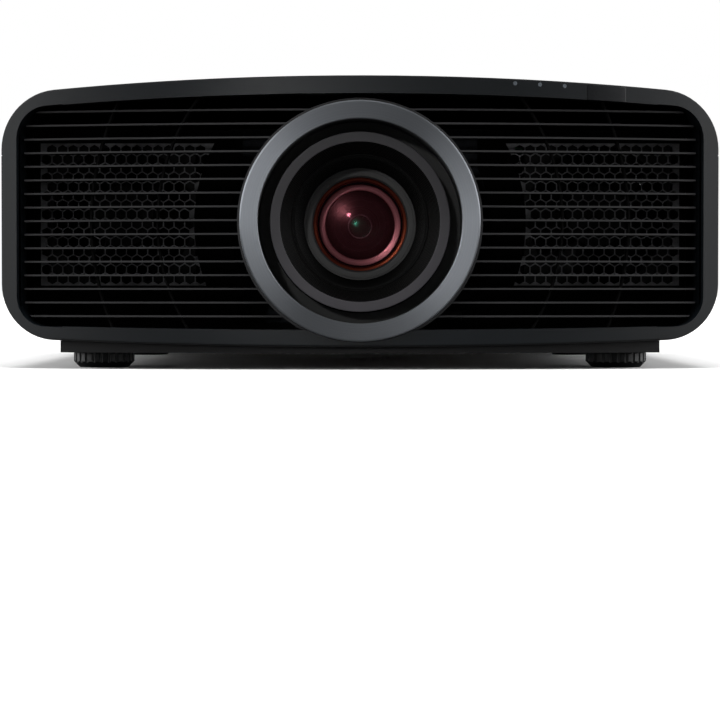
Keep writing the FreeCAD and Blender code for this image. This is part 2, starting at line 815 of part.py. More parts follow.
# ---- Lens shift ----------------------------------------------------------------------
def make_shift_carriage():
    """The plate that rises and falls on the upright rods and carries the side-shift rods."""
    back = carriage_y + carriage_thickness
    low = lens_z - carriage_half_height
    high = lens_z + carriage_half_height
    parts = [box(-carriage_half_width, carriage_half_width, carriage_y, back, low, high)]
    for side in (-1, 1):
        for level in (-1, 1):
            z = lens_z + level * 26
            parts.append(box(side * lift_rod_x - 7, side * lift_rod_x + 7, back - 1,
                             base_plate_y - 1, z - 9, z + 9))
            x0, x1 = sorted((side * side_rod_half_length,
                             side * (side_rod_half_length - side_lug_width)))
            front = side_screw_y - 5 if level < 0 else side_rod_y - 5
            rod_z = lens_z + level * side_rod_offset
            parts.append(box(x0, x1, front, carriage_y + 1, rod_z - 5, rod_z + 5))
    parts.append(box(-lift_screw_x - 6, -carriage_half_width + 1, carriage_y, lift_rod_y + 6,
                     lens_z - 6, lens_z + 6))
    carriage = joined(parts)
    window = sleeve_radius + side_shift + seam_gap
    carriage = carriage.cut(round_y(window, -far / 4, 0))
    for side in (-1, 1):
        carriage = carriage.cut(round_z(rod_radius + fit_gap, 0, far, side * lift_rod_x,
                                        lift_rod_y))
        carriage = carriage.cut(side_bar(rod_radius + fit_gap, side_rod_y, side, -far / 4,
                                         far / 4))
    carriage = carriage.cut(round_z(screw_radius + fit_gap, 0, far, -lift_screw_x, lift_rod_y))
    return carriage.cut(side_bar(screw_radius + fit_gap, side_screw_y, -1, -far / 4, far / 4))


def make_shift_base():
    """The upright frame on the chassis that holds the vertical rods in its lugs."""
    back = base_plate_y + base_plate_thickness
    top = lens_z + lift_rod_reach + lift_lug_height / 2
    low = lens_z - lift_rod_reach
    parts = [box(-carriage_half_width, carriage_half_width, base_plate_y, back, chassis_top, top),
             box(-carriage_half_width, carriage_half_width, back - 1, back + 14, chassis_top,
                 chassis_top + 3)]
    for side in (-1, 1):
        for z in (lens_z + lift_rod_reach - lift_lug_height / 2, low - lift_lug_height / 2):
            parts.append(box(side * lift_rod_x - 6, side * lift_rod_x + 6, lift_rod_y - 6,
                             base_plate_y + 1, z, z + lift_lug_height))
    high_lug = lens_z + lift_rod_reach - lift_lug_height / 2
    parts.append(box(-lift_screw_x - 6, -lift_rod_x, lift_rod_y - 6, back, high_lug,
                     high_lug + lift_lug_height))
    base = joined(parts)
    window = sleeve_radius + shift_reach + seam_gap
    base = base.cut(round_y(window, -far / 4, 0))
    for side in (-1, 1):
        base = base.cut(round_z(rod_radius + fit_gap, 0, far, side * lift_rod_x, lift_rod_y))
    return base.cut(round_z(screw_radius + fit_gap, 0, far, -lift_screw_x, lift_rod_y))


def make_shift_drive():
    reach = lift_rod_reach + lift_lug_height / 2
    lift_rods = [round_z(rod_radius, lens_z - reach, lens_z + reach, side * lift_rod_x,
                         lift_rod_y) for side in (-1, 1)]
    side_rods = [side_bar(rod_radius, side_rod_y, sign, -side_rod_half_length,
                          side_rod_half_length) for sign in (-1, 1)]
    motor_top = chassis_top + shift_motor_length
    lift_motor = round_z(shift_motor_radius, chassis_top, motor_top, -lift_screw_x, lift_rod_y)
    lift_motor = lift_motor.cut(round_z(screw_radius + fit_gap, motor_top - 4, motor_top + 1,
                                        -lift_screw_x, lift_rod_y))
    lift_screw = round_z(screw_radius, motor_top - 3.5, lens_z + reach, -lift_screw_x, lift_rod_y)
    end = side_rod_half_length
    side_motor = side_bar(shift_motor_radius, side_screw_y, -1, end, end + shift_motor_length)
    side_motor = side_motor.cut(side_bar(screw_radius + fit_gap, side_screw_y, -1, end - 1,
                                         end + 4))
    side_screw = side_bar(screw_radius, side_screw_y, -1, -end, end + 3.5)
    return {"lift_rods": Part.makeCompound(lift_rods), "lift_motor": lift_motor,
            "lift_screw": lift_screw, "side_rods": Part.makeCompound(side_rods),
            "side_motor": side_motor, "side_screw": side_screw}


# ---- Rear ----------------------------------------------------------------------------
def louvre_block(low_x, high_x, grow, y0, y1):
    """The louvre opening on the +X side as a block, let out by grow."""
    corners = {(1, -1): louvre_outer_corner + grow, (1, 1): louvre_inner_corner + grow,
               (-1, 1): louvre_inner_corner + grow, (-1, -1): louvre_inner_corner + grow}
    return rounded_block(low_x - grow, high_x + grow, louvre_bottom - grow, louvre_top + grow,
                         y0, y1, corners)


def make_louvre(low_x, high_x, rib_places):
    front = panel_back_y - part_gap
    back = panel_face_y - louvre_set_back - louvre_depth
    face = panel_face_y - louvre_set_back
    grow = louvre_wall + part_gap
    zone = louvre_block(low_x, high_x, -part_gap, back, face)
    zone = zone.fuse(louvre_block(low_x, high_x, grow, back, front))
    parts = [louvre_block(low_x, high_x, grow, back, front).cut(
        louvre_block(low_x, high_x, part_gap, back - 1, front + 1))]
    for index in range(louvre_slats):
        z = louvre_slat_top - index * louvre_pitch
        slat = box(low_x - 5, high_x + 5, back + 4, face, z - louvre_slat_thickness / 2,
                   z + louvre_slat_thickness / 2)
        parts.append(slat.common(zone))
    for x in rib_places:
        rib = box(x - louvre_rib_thickness / 2, x + louvre_rib_thickness / 2, back + 4,
                  face - 1.5, louvre_bottom - 5, louvre_top + 5)
        parts.append(rib.common(zone))
    return joined(parts)


def make_rear_mesh(low_x, high_x):
    y = panel_face_y - louvre_set_back - louvre_depth - mesh_thickness
    plate = louvre_block(low_x, high_x, louvre_wall + part_gap, y, y + mesh_thickness)
    face = [f for f in plate.Faces
            if abs(f.CenterOfMass.y - y) < 1e-4 and abs(f.normalAt(0, 0).y) > 0.99][0]
    middle_x = (low_x + high_x) / 2
    middle_z = (louvre_bottom + louvre_top) / 2

    def keep(x, z):
        across = abs(x - middle_x) / (high_x - low_x) * 2
        up = abs(z - middle_z) / (louvre_top - louvre_bottom) * 2
        return across < 0.82 and up < 0.88 and across + up < 1.42

    return honeycomb(face, y, mesh_thickness, keep)


def make_rear_filter(low_x, high_x):
    """A foam sheet against the inner side of the honeycomb plate."""
    front = panel_face_y - louvre_set_back - louvre_depth - mesh_thickness
    return louvre_block(low_x, high_x, louvre_wall + part_gap, front - filter_thickness, front)


def make_rear_panel():
    flange = outline(cover_wall + part_gap, panel_back_y, panel_flange_y)
    face = outline(rear_rim_width + panel_groove, panel_flange_y - 1, panel_face_y)
    chin = box(-tray_rear_half_width, tray_rear_half_width, panel_back_y, panel_face_y,
               tray_lip_height + part_gap, louvre_bottom)
    panel = flange.fuse([face, chin])
    below = box(-tray_rear_half_width - part_gap, tray_rear_half_width + part_gap,
                panel_back_y - 1, far, 0, tray_lip_height + part_gap)
    panel = panel.cut(below)
    for low_x, high_x, flip in ((*louvre_left, False), (*louvre_right, True)):
        hole = louvre_block(low_x, high_x, 0, panel_back_y - 1, panel_face_y + 1)
        panel = panel.cut(mirrored(hole) if flip else hole)
    window = outline(rear_rim_width + panel_groove + terminal_rim, panel_back_y - 1,
                     panel_face_y + 1)
    window = window.common(box(terminal_low_x, terminal_high_x, 0, far, terminal_bottom, far))
    panel = panel.cut(window)
    cup_outer = rounded_block(recess_low_x - recess_wall, recess_high_x + recess_wall,
                              recess_bottom - recess_wall + 0.05, recess_top + recess_wall,
                              panel_face_y - recess_depth - recess_wall, panel_face_y,
                              even_corners(recess_corner + recess_wall))
    cup_inner = rounded_block(recess_low_x, recess_high_x, recess_bottom, recess_top,
                              panel_face_y - recess_depth, panel_face_y + 1,
                              even_corners(recess_corner))
    panel = panel.fuse(cup_outer).cut(cup_inner)
    panel = panel.cut(inlet_block(part_gap, 0, far))
    field = rounded_block(field_low_x, field_high_x, field_bottom, label_top,
                          panel_face_y - field_recess, panel_face_y + 1,
                          even_corners(field_corner))
    label = rounded_block(label_low_x, label_high_x, label_bottom, label_top,
                          panel_face_y - field_recess, panel_face_y + 1,
                          even_corners(field_corner))
    panel = panel.cut(field).cut(label)
    guide_back = panel_face_y - button_well_depth - button_guide_length
    guide = round_y(button_radius + part_gap + button_guide_wall, guide_back,
                    panel_flange_y, button_x, button_z)
    panel = panel.fuse(guide)
    panel = panel.cut(round_y(button_radius + part_gap, guide_back - 1, far, button_x, button_z))
    panel = panel.cut(round_y(button_well_radius, panel_face_y - button_well_depth, far,
                              button_x, button_z))
    panel = panel.cut(round_y(sensor_radius + part_gap / 2, panel_face_y - sensor_thickness - 0.4,
                              far, sensor_x, sensor_z))
    return panel.cut(round_y(sensor_radius - 2, panel_back_y - 1, far, sensor_x, sensor_z))


def inlet_block(grow, y0, y1):
    """The mains inlet's outline as a block: its two lower corners are cut off."""
    half = inlet_width / 2 + grow
    low = inlet_z - inlet_height / 2 - grow
    high = inlet_z + inlet_height / 2 + grow
    cut = inlet_corner + grow * (2 - math.sqrt(2))
    points = [(-half, high), (half, high), (half, low + cut), (half - cut, low),
              (-half + cut, low), (-half, low + cut)]
    outline_points = [Vector(inlet_x + x, y0, z) for x, z in points]
    wire = Part.makePolygon(outline_points + [outline_points[0]])
    return Part.Face(wire).extrude(Vector(0, y1 - y0, 0))


def make_mains_inlet():
    floor_y = panel_face_y - recess_depth
    face = floor_y + inlet_proud
    back = face - inlet_cavity - inlet_back
    body = inlet_block(0, back, face)
    flange = inlet_block(2.5, floor_y - recess_wall - 2.3, floor_y - recess_wall - part_gap)
    inlet = body.fuse(flange).removeSplitter()
    inlet = inlet.cut(inlet_block(-inlet_wall, face - inlet_cavity, face + 1))
    blades = []
    for x, z in blade_places():
        blade = box(x - blade_thickness / 2, x + blade_thickness / 2, back + 1,
                    face - inlet_cavity + blade_length, z - blade_height / 2,
                    z + blade_height / 2)
        blades.append(blade)
        inlet = inlet.cut(box(x - blade_thickness / 2, x + blade_thickness / 2, back + 1,
                              face, z - blade_height / 2, z + blade_height / 2))
    return inlet, Part.makeCompound(blades)


def blade_places():
    high = inlet_z + 2
    return [(inlet_x - blade_spacing, high), (inlet_x + blade_spacing, high),
            (inlet_x, high - blade_earth_drop)]


def socket_y():
    """Front and back of the terminal plate."""
    back = panel_back_y - part_gap - terminal_plate_thickness
    return back, back + terminal_plate_thickness


def make_terminal_plate():
    back, face = socket_y()
    plate = outline(rear_rim_width + panel_groove + terminal_rim - terminal_overlap, back, face)
    plate = plate.common(box(terminal_low_x - terminal_overlap, terminal_high_x + terminal_overlap,
                             0, far, terminal_bottom - terminal_overlap, far))
    for x in video_socket_x:
        plate = plate.cut(centred(x, video_z, video_width, video_height, part_gap, back, face))
        plate = plate.cut(round_y(terminal_screw_shank + fit_gap, back - 1, face + 1, x,
                                  bracket_screw_z))
    plate = plate.cut(round_y(terminal_screw_shank + fit_gap, back - 1, face + 1, ground_screw_x,
                              ground_screw_z))
    plate = plate.cut(centred(lan_x, lan_z, lan_width, lan_height, part_gap, back, face))
    return plate.cut(centred(service_x, service_z, service_width, service_height, part_gap,
                             back, face))


def centred(x, z, width, height, grow, back, face):
    return box(x - width / 2 - grow, x + width / 2 + grow, back - 1, face + 1,
               z - height / 2 - grow, z + height / 2 + grow)


def make_socket(x, z, width, height, mouth_width, mouth_height, tongue_width, tongue):
    """A metal-cased socket that stands on the main board, open to the rear."""
    _, face = socket_y()
    front = face + 1.2
    back = front - socket_depth
    case = rounded_block(x - width / 2, x + width / 2, z - height / 2, z + height / 2, back,
                         front, even_corners(0.8))
    mouth = box(x - mouth_width / 2, x + mouth_width / 2, back + 2, front + 1,
                z - mouth_height / 2, z + mouth_height / 2)
    case = case.cut(mouth)
    stand = box(x - width / 2 + 1, x + width / 2 - 1, back, face - terminal_plate_thickness - 1,
                board_z + board_thickness, z - height / 2 + socket_wall / 2)
    parts = [case, stand]
    if tongue:
        parts.append(box(x - tongue_width / 2, x + tongue_width / 2, back + 1, front - 1.5,
                         z - tongue / 2, z + tongue / 2))
    return joined(parts)


def make_sockets():
    video = []
    for x in video_socket_x:
        video.append(make_socket(x, video_z, video_width, video_height,
                                 video_width - 2 * socket_wall, video_height - 2 * socket_wall,
                                 11.0, tongue_thickness))
    lan = make_socket(lan_x, lan_z, lan_width, lan_height, lan_mouth_width, lan_mouth_height,
                      0, 0)
    service = make_socket(service_x, service_z, service_width, service_height,
                          service_width - 2 * socket_wall, service_height - 2 * socket_wall,
                          10.5, 1.8)
    return Part.makeCompound(video), lan, service


def make_video_brackets():
    _, face = socket_y()
    y0 = face + 0.1
    y1 = y0 + bracket_thickness
    brackets = []
    for x in video_socket_x:
        low = video_z - bracket_height / 2
        plate = box(x - bracket_width / 2, x + bracket_width / 2, y0, y1, low,
                    low + bracket_height)
        tab = rounded_block(x - bracket_tab_width / 2, x + bracket_tab_width / 2,
                            low + bracket_height - 2, bracket_tab_top, y0, y1,
                            {(-1, 1): 1.5, (1, 1): 1.5})
        bracket = plate.fuse(tab).removeSplitter()
        bracket = bracket.cut(centred(x, video_z, video_width, video_height, part_gap, y0, y1))
        brackets.append(bracket.cut(round_y(terminal_screw_shank + fit_gap, y0 - 1, y1 + 1, x,
                                            bracket_screw_z)))
    return Part.makeCompound(brackets)


def make_terminal_screws():
    back, face = socket_y()
    seats = [(x, bracket_screw_z, face + 0.1 + bracket_thickness) for x in video_socket_x]
    seats.append((ground_screw_x, ground_screw_z, face))
    screws = []
    for x, z, seat in seats:
        head = round_y(terminal_screw_radius, seat + 0.05, seat + terminal_screw_head, x, z)
        head = head.makeFillet(0.6, [e for e in head.Edges
                                     if abs(e.BoundBox.YMin - seat - terminal_screw_head) < 1e-3])
        shank = round_y(terminal_screw_shank, back - 3, seat + 0.5, x, z)
        slot_length = terminal_screw_radius * 1.1
        cross = box(x - slot_length / 2, x + slot_length / 2, seat + 0.8, far, z - 0.35, z + 0.35)
        upright = box(x - 0.35, x + 0.35, seat + 0.8, far, z - slot_length / 2,
                      z + slot_length / 2)
        screws.append(head.fuse(shank).cut(cross).cut(upright))
    return Part.makeCompound(screws)


def make_power_button():
    well_floor = panel_face_y - button_well_depth
    top = well_floor + button_proud
    guide_back = well_floor - button_guide_length
    collar = guide_back - button_collar_gap
    profile = [(0, top - 0.5), (1.2, top - 0.4), (1.6, top), (button_radius - 0.5, top),
               (button_radius, top - 0.5), (button_radius, collar),
               (button_collar_radius, collar),
               (button_collar_radius, collar - button_collar_thickness),
               (0, collar - button_collar_thickness)]
    return turned_y(profile, button_x, button_z)


def make_rear_sensor_window():
    top = panel_face_y - 0.3
    return turned_y([(0, top), (sensor_radius - 0.4, top), (sensor_radius, top - 0.4),
                     (sensor_radius, panel_face_y - sensor_thickness),
                     (0, panel_face_y - sensor_thickness)], sensor_x, sensor_z)


# ---- Feet ----------------------------------------------------------------------------
def make_foot_knob(x, y):
    profile = [(foot_stud_radius + fit_gap, 0), (foot_radius - foot_chamfer, 0),
               (foot_radius, foot_chamfer), (foot_radius, foot_height - 0.8),
               (foot_radius - 0.8, foot_height), (foot_stud_radius + fit_gap, foot_height)]
    points = [Vector(x + radius, y, z) for radius, z in profile]
    knob = Part.Face(Part.makePolygon(points + [points[0]]))
    knob = knob.revolve(Vector(x, y, 0), Vector(0, 0, 1), 360)
    flutes = []
    for index in range(foot_flute_count):
        angle = 2 * math.pi * index / foot_flute_count
        flutes.append(round_z(foot_flute_radius, foot_chamfer * 0.7, foot_height + 1,
                              x + (foot_radius + 0.4) * math.cos(angle),
                              y + (foot_radius + 0.4) * math.sin(angle)))
    knob = knob.cut(flutes)
    socket = round_z(foot_stud_radius + 1.5, foot_stud_seat - 1.6 - fit_gap,
                     foot_stud_seat + 1.6, x, y)
    return knob.cut(socket).fuse(round_z(foot_stud_radius + 1, 0, foot_stud_seat - 1.6 - fit_gap,
                                         x, y))


def make_foot_stud(x, y):
    stud = round_z(foot_stud_radius, foot_stud_seat, foot_stud_top, x, y)
    collar = round_z(foot_stud_radius + 1.5 - fit_gap, foot_stud_seat - 1.6,
                     foot_stud_seat + 1.6 - fit_gap, x, y)
    return stud.fuse(collar).removeSplitter()


# ---- Inside --------------------------------------------------------------------------
def make_optical_block():
    back = block_front_y + block_depth
    block = box(-block_half_width, block_half_width, block_front_y, back, chassis_top,
                chassis_top + block_height)
    upright = [e for e in edges_along(block, Vector(0, 0, 1))]
    block = block.makeFillet(6.0, upright)
    parts = [block]
    for x in (-block_half_width + 10, block_half_width - 10):
        for y in (board_front_y + 8, back - 10):
            parts.append(round_z(board_post_radius, chassis_top + block_height - 1, board_z, x, y))
    block = joined(parts)
    return block.cut(round_y(retainer_inner_radius, block_front_y - 1, block_front_y + 30))


def make_light_source():
    source = box(source_low_x, source_low_x + source_width, source_front_y,
                 source_front_y + source_depth, chassis_top, chassis_top + source_height)
    return source.makeChamfer(5.0, edges_along(source, Vector(0, 0, 1)))


def make_heat_sink():
    y0 = source_front_y + source_depth
    top = chassis_top + source_height
    parts = [box(source_low_x, source_low_x + source_width, y0, y0 + fin_base, chassis_top, top)]
    pitch = (source_width - fin_thickness) / (fin_count - 1)
    for index in range(fin_count):
        x = source_low_x + index * pitch
        parts.append(box(x, x + fin_thickness, y0 + fin_base - 1, y0 + fin_base + fin_depth,
                         chassis_top, top))
    return joined(parts)


def make_power_supply():
    """An open-topped metal tray with a board, transformer, capacitors and heat plate."""
    x1 = supply_low_x + supply_width
    y1 = supply_front_y + supply_depth
    top = chassis_top + supply_height
    tray = box(supply_low_x, x1, supply_front_y, y1, chassis_top, top)
    hollow = box(supply_low_x + supply_wall, x1 - supply_wall, supply_front_y - 1, y1 + 1,
                 chassis_top + supply_wall, top + 1)
    parts = [tray.cut(hollow)]
    middle_x = supply_low_x + supply_width / 2
    floor = chassis_top + supply_wall
    parts.append(box(middle_x - 18, middle_x + 18, supply_front_y + 20, supply_front_y + 58,
                     floor - 0.5, top - 8))
    parts.append(box(supply_low_x + 8, supply_low_x + 12, supply_front_y + 70, y1 - 30,
                     floor - 0.5, top - 6))
    for index in range(3):
        y = supply_front_y + 80 + index * 26
        parts.append(round_z(10.0, floor - 0.5, top - 12, middle_x + 12, y))
    return joined(parts)


def make_main_board():
    y1 = socket_y()[0] - 0.5
    board = box(terminal_low_x + board_half_gap, terminal_high_x - board_half_gap, board_front_y,
                y1, board_z, board_z + board_thickness)
    chips = []
    for x, y, size, height in ((-30, 40, 34, 4), (35, 60, 28, 3), (-45, 120, 18, 2.5),
                               (20, 130, 22, 8), (90, 90, 24, 6), (100, 160, 16, 3)):
        chips.append(box(x - size / 2, x + size / 2, y - size / 2, y + size / 2,
                         board_z + board_thickness - 0.2, board_z + board_thickness + height))
    return joined([board] + chips)


# ---- Everything ----------------------------------------------------------------------
def all_nodes():
    shell = cover_shell()
    bezel, window, lights = make_front_pieces()
    grille = make_front_grille()
    mesh = make_front_mesh()
    fan = make_fan_housing()
    inlet, blades = make_mains_inlet()
    video, lan, service = make_sockets()
    nodes = {
        "top_cover": make_top_cover(shell),
        "bottom_cover": make_bottom_cover(shell),
        "base_tray": make_base_tray(),
        "chassis_plate": make_chassis_plate(),
        "front_bezel": bezel,
        "front_sensor_window": window,
        "indicator_lights": lights,
        "front_grille_right": grille,
        "front_grille_left": mirrored(grille),
        "front_meshes": Part.makeCompound([mesh, mirrored(mesh)]),
        "fan_housings": Part.makeCompound([fan, mirrored(fan)]),
        "fan_rotor_right": make_fan_rotor(fan_x, 1),
        "fan_rotor_left": make_fan_rotor(-fan_x, 1),
        "lens_trim_ring": make_lens_trim_ring(),
        "lens_shroud": make_lens_shroud(),
        "front_barrel": make_front_barrel(),
        "lens_retainer": make_lens_retainer(),
        "front_element": make_front_element(),
        "lens_sleeve": make_lens_sleeve(),
        "focus_pinion": make_pinion(1, focus_gear_y),
        "zoom_pinion": make_pinion(-1, zoom_gear_y),
        "lens_motors": make_lens_motors(),
        "shift_carriage": make_shift_carriage(),
        "shift_base": make_shift_base(),
        "rear_panel": make_rear_panel(),
        "rear_louvre_left": make_louvre(*louvre_left, louvre_ribs_left),
        "rear_louvre_right": mirrored(make_louvre(*louvre_right, louvre_ribs_right)),
        "rear_meshes": Part.makeCompound([make_rear_mesh(*louvre_left),
                                          mirrored(make_rear_mesh(*louvre_right))]),
        "rear_filters": Part.makeCompound([make_rear_filter(*louvre_left),
                                           mirrored(make_rear_filter(*louvre_right))]),
        "terminal_plate": make_terminal_plate(),
        "video_brackets": make_video_brackets(),
        "video_sockets": video,
        "lan_socket": lan,
        "service_socket": service,
        "terminal_screws": make_terminal_screws(),
        "mains_inlet": inlet,
        "inlet_blades": blades,
        "power_button": make_power_button(),
        "rear_sensor_window": make_rear_sensor_window(),
        "optical_block": make_optical_block(),
        "light_source": make_light_source(),
        "heat_sink": make_heat_sink(),
        "power_supply": make_power_supply(),
        "main_board": make_main_board(),
    }
    nodes.update(make_gear_rings())
    nodes.update(make_shift_drive())
    for name, x, y in foot_places():
        nodes["foot_knob_" + name] = make_foot_knob(x, y)
        nodes["foot_stud_" + name] = make_foot_stud(x, y)
    return nodes


os.makedirs("parts", exist_ok=True)
for node_name, node_shape in all_nodes().items():
    node_shape.exportStep("parts/" + node_name + ".step")
    print(node_name, len(node_shape.Solids), node_shape.isValid(), round(node_shape.Volume / 1000, 2))
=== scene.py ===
import json
import math

import bmesh
import bpy
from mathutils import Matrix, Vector

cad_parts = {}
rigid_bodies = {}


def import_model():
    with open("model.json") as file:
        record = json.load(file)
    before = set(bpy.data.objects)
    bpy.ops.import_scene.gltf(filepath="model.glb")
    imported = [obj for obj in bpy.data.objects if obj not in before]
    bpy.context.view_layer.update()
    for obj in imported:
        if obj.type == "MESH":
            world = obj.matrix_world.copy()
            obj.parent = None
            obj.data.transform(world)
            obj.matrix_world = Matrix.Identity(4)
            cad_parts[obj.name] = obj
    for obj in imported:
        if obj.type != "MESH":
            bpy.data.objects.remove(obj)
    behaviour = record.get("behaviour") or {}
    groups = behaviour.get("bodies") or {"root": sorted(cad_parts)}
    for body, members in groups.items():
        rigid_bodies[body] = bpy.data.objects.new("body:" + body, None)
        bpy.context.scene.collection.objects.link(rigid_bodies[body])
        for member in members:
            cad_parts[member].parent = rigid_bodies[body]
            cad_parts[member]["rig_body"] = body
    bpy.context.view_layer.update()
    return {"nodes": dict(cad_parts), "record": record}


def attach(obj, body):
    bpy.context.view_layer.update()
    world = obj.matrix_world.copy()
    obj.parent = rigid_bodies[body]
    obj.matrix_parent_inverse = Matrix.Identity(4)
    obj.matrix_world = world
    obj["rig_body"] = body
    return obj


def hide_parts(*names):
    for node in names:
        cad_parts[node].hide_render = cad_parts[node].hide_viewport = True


# Looks of the home projector: satin and grained black mouldings, a brushed lens ring,
# a ribbed lens barrel with coated glass, honeycomb plates, sockets and turning feet.

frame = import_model()
nodes = frame["nodes"]
slot_of = {row["node"]: row["material_slot"] for row in frame["record"]["subparts"]}

# Places on the object, in millimetres.
MM = 0.001
LENS_Z = 91.4
FACE_RADIUS = 780.0
FACE_CENTRE_Y = -236.0 + FACE_RADIUS
PANEL_FACE = 237.0
LOUVRE_FACE = 236.2
SOCKET_FACE = 233.8
HEX_LOW, HEX_HIGH, HEX_OUTER, HEX_INNER = 52.8, 140.9, 200.9, 104.6
VIDEO_X, VIDEO_Z = (93.3, 58.0), 155.9
LAN_X, LAN_Z = 22.9, 159.3
SERVICE_X, SERVICE_Z = -9.4, 157.2
BUTTON_X, BUTTON_Z = -108.7, 156.4
MARK_X = BUTTON_X - 17.2
ROUND_STEPS = 144
SMOOTH_ANGLE = math.radians(32)


# ---- Finishes ------------------------------------------------------------------------
def linear(code, alpha=1.0):
    """An sRGB hex colour as the linear values that Blender works in."""
    parts = [int(code[i:i + 2], 16) / 255 for i in (1, 3, 5)]
    return (*[c / 12.92 if c <= 0.04045 else ((c + 0.055) / 1.055) ** 2.4 for c in parts], alpha)


def add(tree, kind, inputs=None, **settings):
    """Adds one node, with its settings and with values or links on its inputs."""
    node = tree.nodes.new("ShaderNode" + kind)
    for name, value in settings.items():
        setattr(node, name, value)
    for name, value in (inputs or {}).items():
        if isinstance(value, bpy.types.NodeSocket):
            tree.links.new(value, node.inputs[name])
        else:
            node.inputs[name].default_value = value
    return node.outputs


def new_finish(name):
    """An empty material, its node tree and the place on the object that patterns read."""
    finish = bpy.data.materials.new(name)
    finish.use_nodes = True
    finish.node_tree.nodes.clear()
    tree = finish.node_tree
    place = add(tree, "TexCoord")["Object"]
    return finish, tree, place


def close_finish(tree, surface):
    add(tree, "OutputMaterial", {"Surface": surface})


def ramp(tree, value, stops):
    """A colour ramp from (position, colour) stops."""
    outputs = add(tree, "ValToRGB", {"Fac": value})
    band = outputs["Color"].node.color_ramp
    while len(band.elements) < len(stops):
        band.elements.new(0.5)
    for element, (position, colour) in zip(band.elements, stops):
        element.position = position
        element.color = colour
    return outputs["Color"]


def moulded(name, dark, light, gloss, rough, grain_mm, grain_depth, wander_mm=40.0,
            rough_spread=0.05, specular=0.5, ior=1.5):
    """Moulded plastic: a fine grain from the mould, and slow drift in tone and sheen."""
    finish, tree, place = new_finish(name)
    grain = add(tree, "TexNoise", {"Vector": place, "Scale": 1 / (grain_mm * MM), "Detail": 3.0,
                                   "Roughness": 0.6})["Fac"]
    wander = add(tree, "TexNoise", {"Vector": place, "Scale": 1 / (wander_mm * MM),
                                    "Detail": 2.0})["Fac"]
    tone = ramp(tree, wander, [(0.3, linear(dark)), (0.7, linear(light))])
    speck = add(tree, "MapRange", {"Value": grain, "From Min": 0.3, "From Max": 0.7,
                                   "To Min": 0.9, "To Max": 1.1})["Result"]
    colour = add(tree, "VectorMath", {0: tone, "Scale": speck}, operation="SCALE")["Vector"]
    sheen = add(tree, "MapRange", {"Value": grain, "From Min": 0.3, "From Max": 0.7,
                                   "To Min": rough - rough_spread,
                                   "To Max": rough + rough_spread})["Result"]
    bump = add(tree, "Bump", {"Height": grain, "Strength": 0.6,
                              "Distance": grain_depth * MM})["Normal"]
    surface = add(tree, "BsdfPrincipled", {
        "Base Color": colour, "Roughness": sheen, "Normal": bump, "IOR": ior,
        "Specular IOR Level": specular, "Coat Weight": gloss, "Coat Roughness": 0.12,
    })["BSDF"]
    close_finish(tree, surface)
    return finish


def metal(name, dark, light, rough, blotch_mm, blotch_depth, rough_spread=0.06):
    """Bare or plated metal with a cloudy, slightly uneven skin."""
    finish, tree, place = new_finish(name)
    cloud = add(tree, "TexNoise", {"Vector": place, "Scale": 1 / (blotch_mm * MM), "Detail": 4.0,
                                   "Roughness": 0.6})["Fac"]
    colour = ramp(tree, cloud, [(0.3, linear(dark)), (0.7, linear(light))])
    sheen = add(tree, "MapRange", {"Value": cloud, "From Min": 0.3, "From Max": 0.7,
                                   "To Min": rough - rough_spread,
                                   "To Max": rough + rough_spread})["Result"]
    bump = add(tree, "Bump", {"Height": cloud, "Strength": 0.4,
                              "Distance": blotch_depth * MM})["Normal"]
    surface = add(tree, "BsdfPrincipled", {"Base Color": colour, "Metallic": 1.0,
                                           "Roughness": sheen, "Normal": bump})["BSDF"]
    close_finish(tree, surface)
    return finish


def lathe_turned(name, dark, light, rough, streak, line_mm=0.35, rough_spread=0.05):
    """Metal turned on a lathe: hair lines run round the lens axis and spread light outward."""
    finish, tree, place = new_finish(name)
    centred = add(tree, "Mapping", {"Vector": place, "Location": (0, 0, -LENS_Z * MM)})["Vector"]
    flat = add(tree, "VectorMath", {0: centred, 1: (1, 0, 1)}, operation="MULTIPLY")["Vector"]
    reach = add(tree, "VectorMath", {0: flat}, operation="LENGTH")["Value"]
    across = add(tree, "Math", {0: reach, 1: 1 / (line_mm * MM)}, operation="MULTIPLY")["Value"]
    drift = add(tree, "TexNoise", {"Vector": centred, "Scale": 18.0, "Detail": 1.0})["Fac"]
    wave = add(tree, "Math", {0: across, 1: drift}, operation="ADD")["Value"]
    line = add(tree, "TexNoise", {"W": wave, "Scale": 1.0, "Detail": 3.0},
               noise_dimensions="1D")["Fac"]
    colour = ramp(tree, line, [(0.3, linear(dark)), (0.7, linear(light))])
    sheen = add(tree, "MapRange", {"Value": line, "From Min": 0.3, "From Max": 0.7,
                                   "To Min": rough - rough_spread,
                                   "To Max": rough + rough_spread})["Result"]
    bump = add(tree, "Bump", {"Height": line, "Strength": 0.25, "Distance": 0.01 * MM})["Normal"]
    tangent = add(tree, "Tangent", direction_type="RADIAL", axis="Y")["Tangent"]
    surface = add(tree, "BsdfPrincipled", {"Base Color": colour, "Metallic": 1.0,
                                           "Roughness": sheen, "Normal": bump,
                                           "Anisotropic": streak, "Anisotropic Rotation": 0.25,
                                           "Tangent": tangent})["BSDF"]
    close_finish(tree, surface)
    return finish


